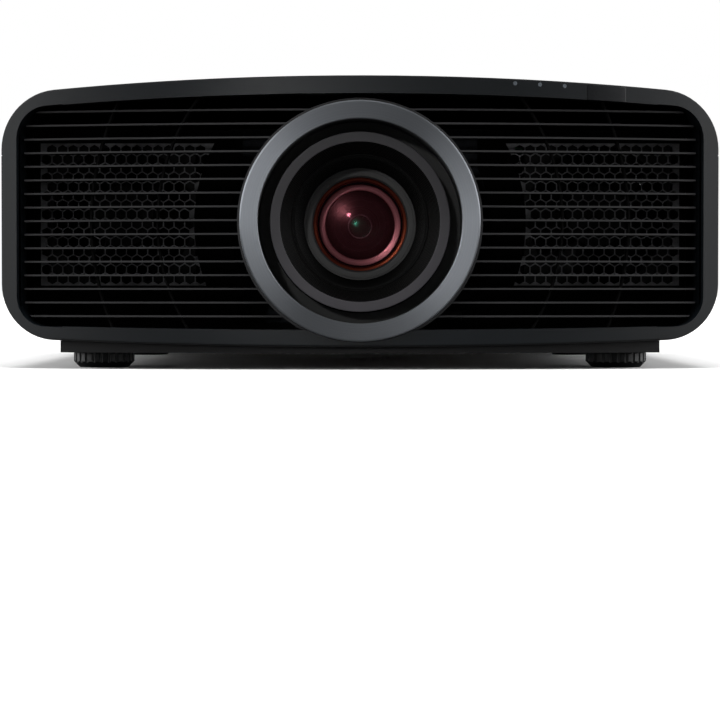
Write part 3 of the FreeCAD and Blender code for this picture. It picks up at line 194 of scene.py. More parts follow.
def coated_glass(name, tint, flare, blur=0.05):
    """Optical glass: clear to look through, with a coloured reflection from its coating."""
    finish, tree, place = new_finish(name)
    haze = add(tree, "TexNoise", {"Vector": place, "Scale": 1 / (9 * MM), "Detail": 2.0})["Fac"]
    sheen = add(tree, "MapRange", {"Value": haze, "To Min": blur * 0.8,
                                   "To Max": blur * 1.2})["Result"]
    edge = add(tree, "Fresnel", {"IOR": 1.6})["Fac"]
    share = add(tree, "Math", {0: edge, 1: flare}, operation="MULTIPLY")["Value"]
    clear = add(tree, "BsdfTransparent", {"Color": linear("#F4ECEE")})["BSDF"]
    mirror = add(tree, "BsdfGlossy", {"Color": linear(tint), "Roughness": sheen})["BSDF"]
    close_finish(tree, add(tree, "MixShader", {"Fac": share, 1: clear, 2: mirror})["Shader"])
    return finish


def bezel_lacquer():
    """Satin lacquer over ABS, with a painted highlight: its top front edge is coloured light grey.
    """
    finish, tree, place = new_finish("abs_satin_lacquer_blue_black")
    grain = add(tree, "TexNoise", {"Vector": place, "Scale": 1 / (0.45 * MM), "Detail": 3.0,
                                   "Roughness": 0.6})["Fac"]
    wander = add(tree, "TexNoise", {"Vector": place, "Scale": 1 / (40 * MM), "Detail": 2.0})["Fac"]
    tone = ramp(tree, wander, [(0.3, linear("#0C1013")), (0.7, linear("#101418"))])
    # Painted highlight: faces near the top that lean up and forward take a light grey in place of
    # the lacquer tone.
    upward = add(tree, "SeparateXYZ", {"Vector": add(tree, "TexCoord")["Normal"]})
    height = add(tree, "SeparateXYZ", {"Vector": place})["Z"]
    tilt = add(tree, "MapRange", {"Value": upward["Z"], "From Min": 0.25, "From Max": 0.45})
    lean = add(tree, "MapRange", {"Value": upward["Y"], "From Min": -0.2, "From Max": -0.4})
    painted_highlight_band = add(tree, "MapRange", {"Value": height, "From Min": 125 * MM, "From Max": 150 * MM})
    edge = add(tree, "Math", {0: tilt["Result"], 1: lean["Result"]}, operation="MULTIPLY")
    edge = add(tree, "Math", {0: edge["Value"], 1: painted_highlight_band["Result"]}, operation="MULTIPLY")
    colour = add(tree, "Mix", {0: edge["Value"], 6: tone, 7: linear("#A6A2AE")},
                 data_type="RGBA")[2]
    sheen = add(tree, "MapRange", {"Value": grain, "From Min": 0.3, "From Max": 0.7,
                                   "To Min": 0.32, "To Max": 0.42})["Result"]
    bump = add(tree, "Bump", {"Height": grain, "Strength": 0.6, "Distance": 0.008 * MM})["Normal"]
    surface = add(tree, "BsdfPrincipled", {
        "Base Color": colour, "Roughness": sheen, "Normal": bump, "Specular IOR Level": 0.45,
        "Coat Weight": 0.15, "Coat Roughness": 0.2})["BSDF"]
    close_finish(tree, surface)
    return finish


def grille_slats():
    """Satin ABS painted lighter on its front edges, as painted highlight, and near black in the
    depth behind them, as painted shade.
    """
    finish, tree, place = new_finish("abs_satin_black_painted_lit_edges")
    centred = add(tree, "Mapping", {"Vector": place,
                                    "Location": (0, -FACE_CENTRE_Y * MM, 0)})["Vector"]
    level = add(tree, "VectorMath", {0: centred, 1: (1, 1, 0)}, operation="MULTIPLY")["Vector"]
    reach = add(tree, "VectorMath", {0: level}, operation="LENGTH")["Value"]
    front = add(tree, "MapRange", {"Value": reach, "From Min": (FACE_RADIUS - 8.2) * MM,
                                   "From Max": (FACE_RADIUS - 6.6) * MM})["Result"]
    grain = add(tree, "TexNoise", {"Vector": place, "Scale": 1 / (0.5 * MM), "Detail": 3.0})["Fac"]
    # Painted highlight on the slats' front edges, and painted shade, near black, in the depth
    # behind them.
    painted_lit_edge = ramp(tree, grain, [(0.3, linear("#353536")), (0.7, linear("#3E3E3F"))])
    colour = add(tree, "Mix", {0: front, 6: linear("#060606"), 7: painted_lit_edge}, data_type="RGBA")[2]
    sheen = add(tree, "MapRange", {"Value": front, "To Min": 0.9, "To Max": 0.43})["Result"]
    bump = add(tree, "Bump", {"Height": grain, "Strength": 0.4, "Distance": 0.01 * MM})["Normal"]
    surface = add(tree, "BsdfPrincipled", {"Base Color": colour, "Roughness": sheen,
                                           "Normal": bump, "Specular IOR Level": 0.12})["BSDF"]
    close_finish(tree, surface)
    return finish


def louvre_slats():
    """Matt ABS painted a little lighter on its outer edges, as painted highlight, and near black
    in the depth behind them, as painted shade.
    """
    finish, tree, place = new_finish("abs_matt_black_painted_lit_edges")
    depth = add(tree, "SeparateXYZ", {"Vector": place})["Y"]
    front = add(tree, "MapRange", {"Value": depth, "From Min": (LOUVRE_FACE - 1.2) * MM,
                                   "From Max": (LOUVRE_FACE - 0.3) * MM})["Result"]
    grain = add(tree, "TexNoise", {"Vector": place, "Scale": 1 / (0.6 * MM), "Detail": 3.0})["Fac"]
    # Painted highlight on the louvres' outer edges, and painted shade, near black, in the depth
    # behind them.
    painted_lit_edge = ramp(tree, grain, [(0.3, linear("#2E2E2E")), (0.7, linear("#363636"))])
    colour = add(tree, "Mix", {0: front, 6: linear("#070707"), 7: painted_lit_edge}, data_type="RGBA")[2]
    bump = add(tree, "Bump", {"Height": grain, "Strength": 0.4, "Distance": 0.02 * MM})["Normal"]
    sheen = add(tree, "MapRange", {"Value": front, "To Min": 0.9, "To Max": 0.5})["Result"]
    surface = add(tree, "BsdfPrincipled", {"Base Color": colour, "Roughness": sheen,
                                           "Normal": bump, "Specular IOR Level": 0.2})["BSDF"]
    close_finish(tree, surface)
    return finish


def honeycomb_steel():
    """Punched sheet: the webs of the honeycomb are lighter than the border round them, which is
    painted near black as painted shade.
    """
    finish, tree, place = new_finish("punched_sheet_steel_satin_webs")
    centred = add(tree, "Mapping", {"Vector": place, "Location": (0, 0, -LENS_Z * MM)})["Vector"]
    flat = add(tree, "VectorMath", {0: centred, 1: (1, 0, 1)}, operation="MULTIPLY")["Vector"]
    reach = add(tree, "VectorMath", {0: flat}, operation="LENGTH")["Value"]
    height = add(tree, "SeparateXYZ", {"Vector": place})["Z"]
    aside = add(tree, "Math", {0: add(tree, "SeparateXYZ", {"Vector": place})["X"]},
                operation="ABSOLUTE")["Value"]
    # The webs end at a ring round the lens, at a line above and below, and at the outer side.
    zone = 1.0
    for value, outside, inside in ((reach, HEX_INNER, HEX_INNER + 0.4),
                                   (height, HEX_LOW - 1.0, HEX_LOW - 0.6),
                                   (height, HEX_HIGH + 1.0, HEX_HIGH + 0.6),
                                   (aside, HEX_OUTER + 1.0, HEX_OUTER + 0.6)):
        limit = add(tree, "MapRange", {"Value": value, "From Min": outside * MM,
                                       "From Max": inside * MM})["Result"]
        zone = add(tree, "Math", {0: zone, 1: limit}, operation="MULTIPLY")["Value"]
    grain = add(tree, "TexNoise", {"Vector": place, "Scale": 1 / (1.6 * MM), "Detail": 3.0})["Fac"]
    # Painted shade: beyond the webs the sheet is painted near black, while the webs keep a lighter
    # grey.
    web = ramp(tree, grain, [(0.3, linear("#6C6C6E")), (0.7, linear("#7A7A7C"))])
    colour = add(tree, "Mix", {0: zone, 6: linear("#010101"), 7: web},
                 data_type="RGBA")[2]
    bump = add(tree, "Bump", {"Height": grain, "Strength": 0.4, "Distance": 0.03 * MM})["Normal"]
    sheen = add(tree, "MapRange", {"Value": zone, "To Min": 0.95,
                                   "To Max": 0.5})["Result"]
    surface = add(tree, "BsdfPrincipled", {"Base Color": colour, "Roughness": sheen,
                                           "Specular IOR Level": 0.08, "Normal": bump})["BSDF"]
    close_finish(tree, surface)
    return finish


def circuit_board():
    """Glass-fibre board under green solder resist, with copper tracks showing through."""
    finish, tree, place = new_finish("fibreglass_board_solder_resist")
    tracks = add(tree, "TexBrick", {
        "Vector": place, "Scale": 1 / (8 * MM), "Color1": linear("#0F3A26"),
        "Color2": linear("#14452E"), "Mortar": linear("#2A6B48"), "Mortar Size": 0.03,
    })["Color"]
    surface = add(tree, "BsdfPrincipled", {"Base Color": tracks, "Roughness": 0.35})["BSDF"]
    close_finish(tree, surface)
    return finish


finishes = {
    # ABS moulded against a spark-eroded mould: a soft black with a fine sparkle.
    "cover_plastic": moulded("abs_fine_grain_black", "#17181B", "#1B1C20", 0.0, 0.46, 0.7, 0.03),
    "tray_plastic": moulded("abs_matt_black", "#101012", "#141416", 0.0, 0.6, 0.9, 0.04),
    # Satin lacquered ABS: smooth, slightly blue, with a broad soft highlight.
    "bezel_plastic": bezel_lacquer(),
    "grille_plastic": grille_slats(),
    # The rear is a coarser spark grain, so it looks drier and blacker than the covers.
    "rear_plastic": moulded("abs_spark_grain_black", "#0B0B0C", "#0E0E0F", 0.0, 0.5, 0.8, 0.04,
                            specular=0.4),
    "fan_plastic": moulded("glass_filled_nylon_black", "#030303", "#050505", 0.0, 0.6, 0.6, 0.02,
                           specular=0.2),
    # Open pores swallow nearly all light.
    "filter_foam": moulded("open_cell_foam_black", "#020202", "#060606", 0.0, 0.9, 1.8, 0.5,
                           specular=0.1),
    # Smooth nylon and button ABS: small, tight highlights on the rims.
    "socket_plastic": moulded("nylon_satin_black", "#0A0A0A", "#0E0E0F", 0.0, 0.4, 0.5, 0.01),
    "button_plastic": moulded("abs_satin_black_button", "#0F0F11", "#131315", 0.0, 0.38,
                              0.5, 0.01),
    # Feet in a fine grain that keeps the grip ribs readable.
    "foot_plastic": moulded("polyamide_fine_grain_black", "#101214", "#141619", 0.0, 0.42,
                            0.6, 0.02),
    "gear_plastic": moulded("acetal_natural", "#BDB8AA", "#C8C3B6", 0.0, 0.35, 0.8, 0.01),
    # Polished windows: darker than the lacquer round them, with a clear reflection.
    "dark_window": moulded("polycarbonate_infrared_window", "#0E1013", "#121418", 0.5, 0.2,
                           6.0, 0.002, rough_spread=0.02),
    "light_pipe": moulded("acrylic_light_pipe", "#5A6066", "#666C72", 0.6, 0.2, 2.0, 0.002),
    # Sheet steel under a black powder coat with its slight orange peel.
    "black_sheet_steel": moulded("sheet_steel_powder_coat_black", "#121213", "#161617", 0.0,
                                 0.5, 1.6, 0.03),
    # Hair lines 0.35 mm apart, a little coarser than real brushing so that they show.
    "brushed_ring": lathe_turned("anodised_aluminium_circular_brushed", "#93979D", "#A1A5AB",
                                 0.5, 0.93),
    "lens_black": moulded("lens_barrel_matt_black", "#020202", "#040404", 0.0, 0.5, 0.4, 0.01,
                          specular=0.12),
    # Dyed or cast metal inside, seen only between the slats.
    "black_aluminium": metal("aluminium_black_anodised", "#18191B", "#202124", 0.4, 3.0, 0.01),
    "cast_aluminium": metal("aluminium_die_cast", "#9A9C9E", "#B0B2B4", 0.5, 2.0, 0.05),
    "cast_magnesium": moulded("magnesium_casting_painted", "#2E2F31", "#38393B", 0.0, 0.55,
                              1.4, 0.05),
    # Nickel plate: bright, with a faint cloudiness.
    "plated_steel": metal("steel_nickel_plated", "#B4B6B8", "#C6C8CA", 0.28, 5.0, 0.01),
    "circuit_board": circuit_board(),
    "lens_glass": coated_glass("optical_glass_rose_coated", "#D9788A", 0.6, blur=0.08),
}


# ---- Ways of making a piece ----------------------------------------------------------
def wear(piece, finish):
    piece.data.materials.clear()
    piece.data.materials.append(finish)


def settle(piece, name, body, slot_name, finish=None, smooth=SMOOTH_ANGLE):
    """Names a finished piece, puts its place in its mesh and lets it ride on its body."""
    piece.name = piece.data.name = name
    bpy.ops.object.select_all(action="DESELECT")
    piece.select_set(True)
    bpy.context.view_layer.objects.active = piece
    bpy.ops.object.transform_apply(location=True, rotation=True, scale=True)
    bpy.ops.object.shade_smooth_by_angle(angle=smooth)
    evened = piece.modifiers.new("flat faces stay flat", "WEIGHTED_NORMAL")
    evened.keep_sharp = True
    bpy.ops.object.modifier_apply(modifier=evened.name)
    wear(piece, finish or finishes[slot_name])
    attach(piece, body)
    return piece


def soften(piece, width, segments=2, angle=40):
    """Rounds a piece's sharp edges by a width in millimetres."""
    bpy.context.view_layer.objects.active = piece
    bevel = piece.modifiers.new("softened edges", "BEVEL")
    bevel.width = width * MM
    bevel.segments = segments
    bevel.limit_method = "ANGLE"
    bevel.angle_limit = math.radians(angle)
    bevel.miter_outer = "MITER_ARC"
    bpy.ops.object.modifier_apply(modifier=bevel.name)


def softened(node, width, segments=2, angle=40, merge_faces=True):
    """A copy of a CAD node with its sharp edges rounded, shown in its place."""
    source = nodes[node]
    piece = bpy.data.objects.new(node + "_finished", source.data.copy())
    bpy.context.scene.collection.objects.link(piece)
    bpy.ops.object.select_all(action="DESELECT")
    piece.select_set(True)
    bpy.context.view_layer.objects.active = piece
    if piece.data.has_custom_normals:
        bpy.ops.mesh.customdata_custom_splitnormals_clear()
    bpy.ops.object.mode_set(mode="EDIT")
    bpy.ops.mesh.select_all(action="SELECT")
    bpy.ops.mesh.remove_doubles(threshold=1e-6)
    if merge_faces:
        bpy.ops.mesh.dissolve_limited(angle_limit=math.radians(0.3))
    bpy.ops.object.mode_set(mode="OBJECT")
    soften(piece, width, segments, angle)
    settle(piece, node + "_finished", source["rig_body"], slot_of[node], finish_of(node))
    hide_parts(node)
    return piece


def turned(name, outline, body, slot_name, finish=None, steps=ROUND_STEPS, x=0.0, z=LENS_Z,
           closed=True):
    """A piece turned about an axis along Y, from (radius, y) points in millimetres."""
    bpy.ops.object.select_all(action="DESELECT")
    radius, y = outline[0]
    bpy.ops.mesh.primitive_plane_add(size=MM, location=((x + radius) * MM, y * MM, z * MM))
    piece = bpy.context.object
    bpy.ops.object.mode_set(mode="EDIT")
    bpy.ops.mesh.select_all(action="SELECT")
    bpy.ops.mesh.merge(type="CENTER")
    line = outline + [outline[0]] if closed else outline
    for (r0, y0), (r1, y1) in zip(line, line[1:]):
        bpy.ops.mesh.extrude_vertices_move(
            TRANSFORM_OT_translate={"value": ((r1 - r0) * MM, (y1 - y0) * MM, 0)})
    bpy.ops.mesh.select_all(action="SELECT")
    bpy.ops.mesh.spin(steps=steps, angle=2 * math.pi, center=(x * MM, 0, z * MM), axis=(0, 1, 0))
    bpy.ops.mesh.select_all(action="SELECT")
    bpy.ops.mesh.remove_doubles(threshold=2e-6)
    bpy.ops.mesh.normals_make_consistent(inside=False)
    bpy.ops.object.mode_set(mode="OBJECT")
    return settle(piece, name, body, slot_name, finish)


def block(x, y, z, size):
    """A new block in millimetres, centred on a place, with its scale put in its mesh."""
    bpy.ops.object.select_all(action="DESELECT")
    bpy.ops.mesh.primitive_cube_add(size=1, location=(x * MM, y * MM, z * MM),
                                    scale=[side * MM for side in size])
    bpy.ops.object.transform_apply(location=False, rotation=False, scale=True)
    return bpy.context.object


def cup(name, x, z, width, height, depth, wall, slot_name, finish=None, front=SOCKET_FACE):
    """An open box with its mouth toward +Y, that lines a socket."""
    piece = block(x, front - depth / 2, z, (width, depth, height))
    bpy.ops.object.mode_set(mode="EDIT")
    bpy.ops.mesh.select_all(action="DESELECT")
    shape = bmesh.from_edit_mesh(piece.data)
    mouth = max(shape.faces, key=lambda face: face.normal.y)
    mouth.select_set(True)
    shape.faces.active = mouth
    bmesh.update_edit_mesh(piece.data)
    bpy.ops.mesh.inset(thickness=wall * MM)
    bpy.ops.mesh.extrude_region_move(
        TRANSFORM_OT_translate={"value": (0, -(depth - wall) * MM, 0)})
    bpy.ops.object.mode_set(mode="OBJECT")
    soften(piece, 0.1)
    return settle(piece, name, "body", slot_name, finish)


def bars(name, x, y, z, size, slot_name, finish=None, count=1, pitch=0.0, round_off=0.08):
    """Softened bars in a row along X, the first of them centred on a place."""
    piece = block(x, y, z, size)
    soften(piece, round_off)
    if count > 1:
        row = piece.modifiers.new("row of bars", "ARRAY")
        row.count = count
        row.use_relative_offset = False
        row.use_constant_offset = True
        row.constant_offset_displace = (pitch * MM, 0, 0)
        bpy.ops.object.modifier_apply(modifier=row.name)
    return settle(piece, name, "body", slot_name, finish)


# ---- Carried-over nodes --------------------------------------------------------------
own_finish = {"front_meshes": honeycomb_steel()}
# Inner castings and motors are painted near black as painted shade, so that they stay dark behind
# the grilles.
painted_shade_inner_black = moulded("inner_parts_painted_shade_black", "#0A0A0B", "#0E0E0F", 0.0, 0.45, 1.0, 0.01)
for node_name in ("lens_motors", "lift_motor", "side_motor", "power_supply", "light_source",
                  "heat_sink", "shift_base"):
    own_finish[node_name] = painted_shade_inner_black
# Self-coloured black acetal with a dry, waxy sheen.
gear_black = moulded("acetal_black_dry", "#050505", "#080808", 0.0, 0.55, 0.6, 0.01,
                     specular=0.15)
for node_name in ("focus_ring", "zoom_ring", "focus_pinion", "zoom_pinion", "lens_sleeve"):
    own_finish[node_name] = gear_black
own_finish["rear_louvre_left"] = own_finish["rear_louvre_right"] = louvre_slats()
# Punched sheet under a thin black coat that lets the webs just be told from the holes.
own_finish["rear_meshes"] = moulded("punched_sheet_thin_black_coat", "#1C1C1C", "#242424", 0.0,
                                    0.55, 1.2, 0.02, specular=0.25)
# The terminal field is a smoother, deeper black than the panel round it.
own_finish["terminal_plate"] = moulded("steel_plate_satin_deep_black", "#050505", "#070707",
                                       0.0, 0.45, 0.8, 0.01, specular=0.25)
own_finish["rear_sensor_window"] = moulded("polycarbonate_smoked_black", "#060606", "#080808",
                                           0.2, 0.25, 5.0, 0.002, specular=0.3)


def finish_of(node_name):
    return own_finish.get(node_name, finishes[slot_of[node_name]])


for node_name, node in nodes.items():
    wear(node, finish_of(node_name))

for node_name, width in (("top_cover", 0.35), ("bottom_cover", 0.35), ("front_bezel", 0.7),
                         ("rear_panel", 0.3), ("front_grille_left", 0.22),
                         ("front_grille_right", 0.22), ("base_tray", 0.4),
                         ("front_sensor_window", 0.25), ("terminal_screws", 0.12),
                         ("video_brackets", 0.12), ("mains_inlet", 0.3),
                         ("inlet_blades", 0.35), ("video_sockets", 0.12),
                         ("lan_socket", 0.15), ("service_socket", 0.12),
                         ("foot_knob_front_left", 0.25), ("foot_knob_front_right", 0.25),
                         ("foot_knob_rear_left", 0.25), ("foot_knob_rear_right", 0.25)):
    softened(node_name, width)
# A louvre's ribs and slats share their back plane, so its faces are left as they are.
for node_name in ("rear_louvre_left", "rear_louvre_right"):
    softened(node_name, 0.2, merge_faces=False)


# ---- Lens ----------------------------------------------------------------------------
def grooves(start, end, count, depth):
    """Points of a stepped, light-trapping bore between two (radius, y) points."""
    points = []
    step = (end[1] - start[1]) / count
    for index in range(count):
        radius = start[0] + (end[0] - start[0]) * index / count
        y = start[1] + step * index
        points += [(radius, y), (radius - depth, y + 0.12 * step),
                   (radius - depth, y + 0.3 * step)]
    return points + [end]


def half_round(inner, outer, seat_y, rise):
    """Outline of a ring whose front is rounded like a bead, rising from its seat."""
    middle, half = (inner + outer) / 2, (outer - inner) / 2
    crown = [(middle - half * math.cos(math.radians(a)),
              seat_y - rise * math.sin(math.radians(a))) for a in range(0, 181, 15)]
    return crown + [(outer, seat_y + 1.5), (inner, seat_y + 1.5)]


def dome(radius, rim_y, bulge, back_y):
    """Outline of a lens: a domed front that rises by bulge, and a flat back."""
    curve = (radius ** 2 + bulge ** 2) / (2 * bulge)
    points = []
    for index in range(13):
        reach = radius * index / 12
        rise = math.sqrt(curve ** 2 - reach ** 2) - (curve - bulge)
        points.append((reach, rim_y - rise))
    return points + [(radius, back_y), (0, back_y)]


def lens_pieces():
    ring_satin = moulded("lens_ring_satin_anodised", "#413F43", "#474549", 0.0, 0.4, 0.5, 0.005)
    ring_grey = moulded("retainer_satin_anodised", "#525252", "#5A5A5A", 0.0, 0.4, 0.5, 0.005)
    well_satin = moulded("lens_well_satin_grey_black", "#3E3F3F", "#444545", 0.0, 0.5, 0.6, 0.01)
    cell_wine = lathe_turned("lens_cell_turned_wine_anodised", "#2A0A0D", "#461218", 0.36, 0.9,
                             line_mm=0.8)
    cell_black = moulded("lens_cell_deep_black", "#030202", "#050303", 0.0, 0.5, 0.4, 0.005,
                         specular=0.15)
    # Thin interference coats on the ground edges of the glass, seen as coloured rings.
    rose_coat = lathe_turned("bevel_rose_interference_coat", "#E09A9E", "#F0AEB2", 0.34, 0.8,
                             line_mm=0.9)
    amber_coat = lathe_turned("edge_amber_interference_coat", "#A8583A", "#B96846", 0.3, 0.85,
                              line_mm=1.0)
    pupil_rim = metal("pupil_rim_satin", "#B8B4B6", "#C4C0C2", 0.35, 2.0, 0.002)

    wear(nodes["lens_shroud"], well_satin)

    ring = turned("lens_trim_ring_finished", [
        (63.0, -239.3), (63.2, -239.5), (72.7, -239.5), (73.3, -239.38), (73.75, -239.0),
        (73.95, -238.4), (74.0, -237.6), (74.0, -232.4), (73.6, -232.0),
        (73.5, -231.9), (73.5, -190.0), (71.0, -190.0), (71.0, -232.0), (63.3, -232.0),
        (63.0, -232.3)], "body", "brushed_ring", steps=192)
    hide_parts("lens_trim_ring")

    mouth = grooves((49.7, -217.4), (43.2, -200.3), 9, 0.5)
    throat = grooves((41.0, -198.0), (36.2, -164.7), 15, 0.45)
    outline = [(49.7, -217.6), (55.9, -217.6), (55.9, -203.9), (55.5, -203.5), (50.0, -203.5),
               (50.0, -148.5), (32.0, -148.5), (32.0, -150.5), (36.2, -150.5)]
    outline += throat[::-1] + [(42.0, -198.0), (42.0, -199.3), (42.3, -199.5), (43.0, -199.5)]
    outline += mouth[::-1]
    barrel = turned("front_barrel_finished", outline, "front_barrel", "lens_black")
    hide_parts("front_barrel")
    turned("front_barrel_face_ring", [
        (49.7, -219.3), (49.9, -219.5), (55.3, -219.5), (55.75, -219.35), (55.9, -219.0),
        (55.9, -217.6), (49.7, -217.6)], "front_barrel", "lens_black", ring_satin)

    retainer = turned("lens_retainer_finished", [
        (30.0, -163.2), (31.1, -164.45), (31.4, -164.5), (34.2, -164.5), (34.35, -164.25),
        (34.6, -164.25), (34.75, -164.5), (35.7, -164.5), (35.9, -164.3), (35.9, -161.5),
        (30.0, -161.5)], "front_barrel", "lens_black", ring_grey)
    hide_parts("lens_retainer")
    turned("front_glass_amber_edge", half_round(27.4, 31.4, -153.9, 1.5), "front_barrel",
           "lens_glass", amber_coat)
    glass = turned("front_element_finished", dome(35.4, -158.8, 9.0, -155.9), "front_barrel",
                   "lens_glass")
    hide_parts("front_element")

    mount = [(49.6, -146.0), (31.0, -146.0), (30.2, -145.2)]
    mount += grooves((30.0, -145.0), (26.6, -139.6), 4, 0.3)
    mount += [(22.4, -139.4), (22.4, -97.5), (49.6, -97.5)]
    turned("inner_lens_mount", mount, "lens", "lens_black", cell_black)
    turned("inner_lens_cell", [
        (22.3, -139.2), (21.9, -137.0), (17.5, -129.0), (17.0, -128.6), (12.6, -114.5),
        (12.2, -114.2), (8.4, -104.0), (8.2, -102.0), (8.2, -98.0), (22.3, -98.0)],
        "lens", "lens_black", cell_wine)
    turned("inner_lens_rose_bevel", [
        (22.3, -140.0), (22.6, -140.35), (23.1, -140.55), (25.7, -140.6), (26.2, -140.5),
        (26.5, -140.2), (26.6, -139.8), (26.6, -138.0), (22.3, -138.0)], "lens", "lens_glass",
           rose_coat)
    turned("inner_lens_element", dome(22.1, -139.7, 2.1, -138.2), "lens", "lens_glass",
           coated_glass("optical_glass_rose_inner", "#E89AA0", 0.8, blur=0.2))
    turned("inner_lens_pupil_rim", half_round(7.2, 8.1, -103.6, 0.5), "lens", "lens_glass",
           pupil_rim)
    turned("inner_lens_pupil_element", dome(7.1, -101.6, 0.9, -101.0), "lens", "lens_glass",
           coated_glass("optical_glass_green_coated", "#4FE0B0", 4.0, blur=0.2))
    bowl = [(radius, -98.4 - (radius / 20.0) ** 2 * 10.0)
            for radius in (0.0, 1.0, 2.0, 3.0, 4.0, 5.0, 6.0, 7.0)]
    turned("inner_lens_pupil_bowl", bowl + [(8.1, bowl[-1][1]), (8.1, -97.8), (0.0, -97.8)],
           "lens", "lens_glass",
           metal("pupil_bowl_dark_polish", "#3A4644", "#46524F", 0.24, 3.0, 0.001))


lens_pieces()


# ---- Sockets and button --------------------------------------------------------------
def socket_pieces():
    nylon = finishes["socket_plastic"]
    gold = metal("contact_gold_flash", "#C9A24E", "#D8B464", 0.25, 1.0, 0.002)
    for side, x in zip(("left", "right"), VIDEO_X):
        cup("video_lining_" + side, x, VIDEO_Z, 15.1, 5.5, 7.0, 0.35, "socket_plastic", nylon,
            front=SOCKET_FACE - 0.6)
        bars("video_tongue_" + side, x, SOCKET_FACE - 4.3, VIDEO_Z, (11.2, 5.6, 1.6),
             "socket_plastic", nylon)
        bars("video_contacts_" + side, x - 4.5, SOCKET_FACE - 4.4, VIDEO_Z - 0.85,
             (0.4, 5.0, 0.12), "plated_steel", gold, count=10, pitch=1.0, round_off=0.03)
    cup("network_lining", LAN_X, LAN_Z, 18.4, 13.5, 9.0, 1.55, "socket_plastic", nylon,
        front=SOCKET_FACE + 0.12)
    bars("network_contacts", LAN_X - 3.57, SOCKET_FACE - 4.2, LAN_Z + 4.7, (0.45, 6.0, 0.5),
         "plated_steel", gold, count=8, pitch=1.02, round_off=0.06)
    cup("service_lining", SERVICE_X, SERVICE_Z, 13.0, 5.8, 7.0, 0.35, "socket_plastic", nylon,
        front=SOCKET_FACE - 0.4)
    bars("service_tongue", SERVICE_X, SOCKET_FACE - 4.2, SERVICE_Z + 0.4, (10.7, 5.6, 2.0),
         "socket_plastic", nylon)
    bars("service_contacts", SERVICE_X - 3.5, SOCKET_FACE - 4.3, SERVICE_Z - 0.7,
         (1.0, 4.6, 0.14), "plated_steel", gold, count=4, pitch=2.33, round_off=0.03)

    # A small standby mark beside the button: a ring with a stroke, in pad-printed grey.
    printed = moulded("pad_print_grey", "#A8A8A8", "#B4B4B4", 0.0, 0.5, 0.4, 0.002)
    turned("standby_mark_ring", [
        (1.2, PANEL_FACE - 0.2), (1.2, PANEL_FACE + 0.03), (1.25, PANEL_FACE + 0.05),
        (1.5, PANEL_FACE + 0.05), (1.55, PANEL_FACE + 0.03), (1.55, PANEL_FACE - 0.2)],
        "body", "rear_plastic", printed, steps=48, x=MARK_X, z=BUTTON_Z)
    bars("standby_mark_stroke", MARK_X, PANEL_FACE - 0.05, BUTTON_Z + 1.3,
         (0.35, 0.2, 1.7), "rear_plastic", printed, round_off=0.02)


def button_piece():
    """The round button, dished in the middle, with a softened rim."""
    button = turned("power_button_finished", [
        (0.0, 235.5), (1.5, 235.52), (3.0, 235.62), (4.2, 235.82), (5.0, 236.0), (5.6, 236.14),
        (6.0, 236.18), (6.3, 236.1), (6.46, 235.9), (6.5, 235.6), (6.5, 231.0), (0.0, 231.0)],
        "power_button", "button_plastic", steps=96, x=BUTTON_X, z=BUTTON_Z)
    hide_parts("power_button")


socket_pieces()
button_piece()


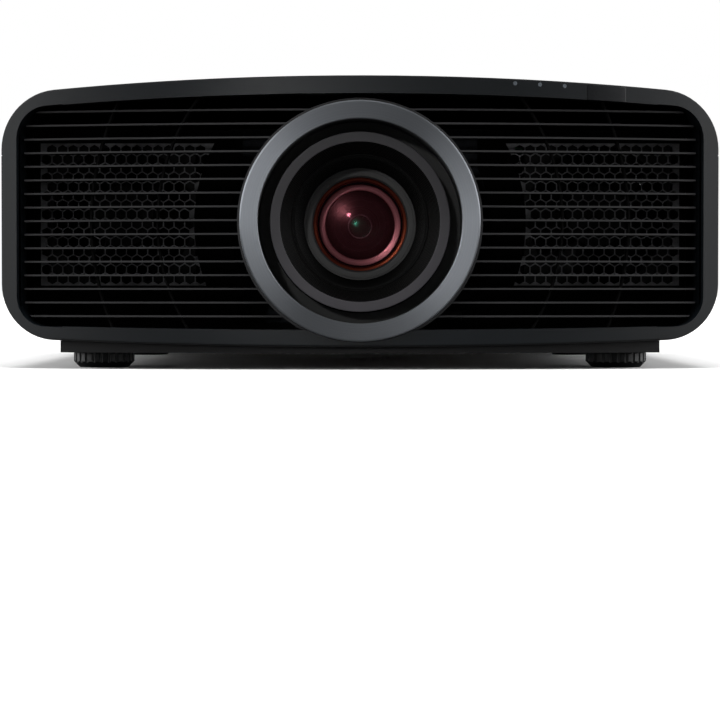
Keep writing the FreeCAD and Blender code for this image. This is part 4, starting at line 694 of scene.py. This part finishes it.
# ---- Room, light and camera ----------------------------------------------------------
def studio():
    scene = bpy.context.scene
    scene.view_settings.view_transform = "Standard"

    bpy.ops.object.select_all(action="DESELECT")
    bpy.ops.mesh.primitive_plane_add(size=60, location=(0, 0, 0))
    floor = bpy.context.object
    floor.name = "studio_floor"
    # Matt white paper with no gloss. Mirrored in the object it is a duller grey, as when the
    # paper is lit by the room and the object by its own lamps.
    paper, tree, place = new_finish("matt_white_paper")
    cloud = add(tree, "TexNoise", {"Vector": place, "Scale": 0.7, "Detail": 1.0})["Fac"]
    pale = ramp(tree, cloud, [(0.3, linear("#F6F6F6")), (0.7, linear("#FAFAFA"))])
    seen = add(tree, "LightPath")["Is Camera Ray"]
    colour = add(tree, "Mix", {0: seen, 6: linear("#4A4A4A"), 7: pale}, data_type="RGBA")[2]
    close_finish(tree, add(tree, "BsdfDiffuse", {"Color": colour})["BSDF"])
    wear(floor, paper)

    world = bpy.data.worlds.new("studio_white")
    scene.world = world
    world.use_nodes = True
    tree = world.node_tree
    tree.nodes.clear()
    axes = add(tree, "SeparateXYZ", {"Vector": add(tree, "TexCoord")["Generated"]})
    beside = add(tree, "Math", {0: axes["X"]}, operation="ABSOLUTE")["Value"]
    sides = add(tree, "MapRange", {"Value": beside, "From Min": 0.42, "From Max": 0.95,
                                   "To Min": 0.0, "To Max": 3.4},
                interpolation_type="SMOOTHSTEP")["Result"]
    above = add(tree, "MapRange", {"Value": axes["Z"], "From Min": 0.82, "From Max": 1.0,
                                   "To Min": 0.0, "To Max": 1.2},
                interpolation_type="SMOOTHSTEP")["Result"]
    glow = add(tree, "Math", {0: sides, 1: above}, operation="ADD")["Value"]
    strength = add(tree, "Math", {0: glow, 1: 0.1}, operation="ADD")["Value"]
    room = add(tree, "Background", {"Color": (1, 1, 1, 1), "Strength": strength})["Background"]
    white = add(tree, "Background", {"Color": (1, 1, 1, 1), "Strength": 1.0})["Background"]
    seen = add(tree, "LightPath")["Is Camera Ray"]
    sky = add(tree, "MixShader", {0: seen, 1: room, 2: white})["Shader"]
    add(tree, "OutputWorld", {"Surface": sky})

    def lamp(name, kind, location, target, energy, **settings):
        light = bpy.data.lights.new(name, kind)
        light.energy = energy
        for key, value in settings.items():
            setattr(light, key, value)
        holder = bpy.data.objects.new(name, light)
        holder.location = location
        aim = Vector(target) - Vector(location)
        holder.rotation_euler = aim.to_track_quat("-Z", "Y").to_euler()
        scene.collection.objects.link(holder)
        return holder

    sun = lamp("key_sun", "SUN", (0, -0.7, 2.2), (0, 0, 0), 2.2, angle=math.radians(40))
    # The sun stands for a wide overhead softbox: it lights, but isn't mirrored as a disc.
    sun.visible_glossy = False
    # Narrow enough to fall on the lens alone, for the soft glints inside it.
    lamp("lens_spot", "SPOT", (-0.36, -1.9, 0.43), (0, -0.2, LENS_Z * MM), 52.0,
         spot_size=math.radians(3.3), spot_blend=0.3, shadow_soft_size=0.11)

    camera_data = bpy.data.cameras.new("front_camera")
    camera_data.lens, camera_data.sensor_width = 130.6, 36.0
    camera = bpy.data.objects.new("front_camera", camera_data)
    camera.location = (0, -1.8395, 0.0473)
    camera.rotation_euler = (math.radians(90 - 1.47), 0, 0)
    scene.collection.objects.link(camera)
    scene.camera = camera


studio()
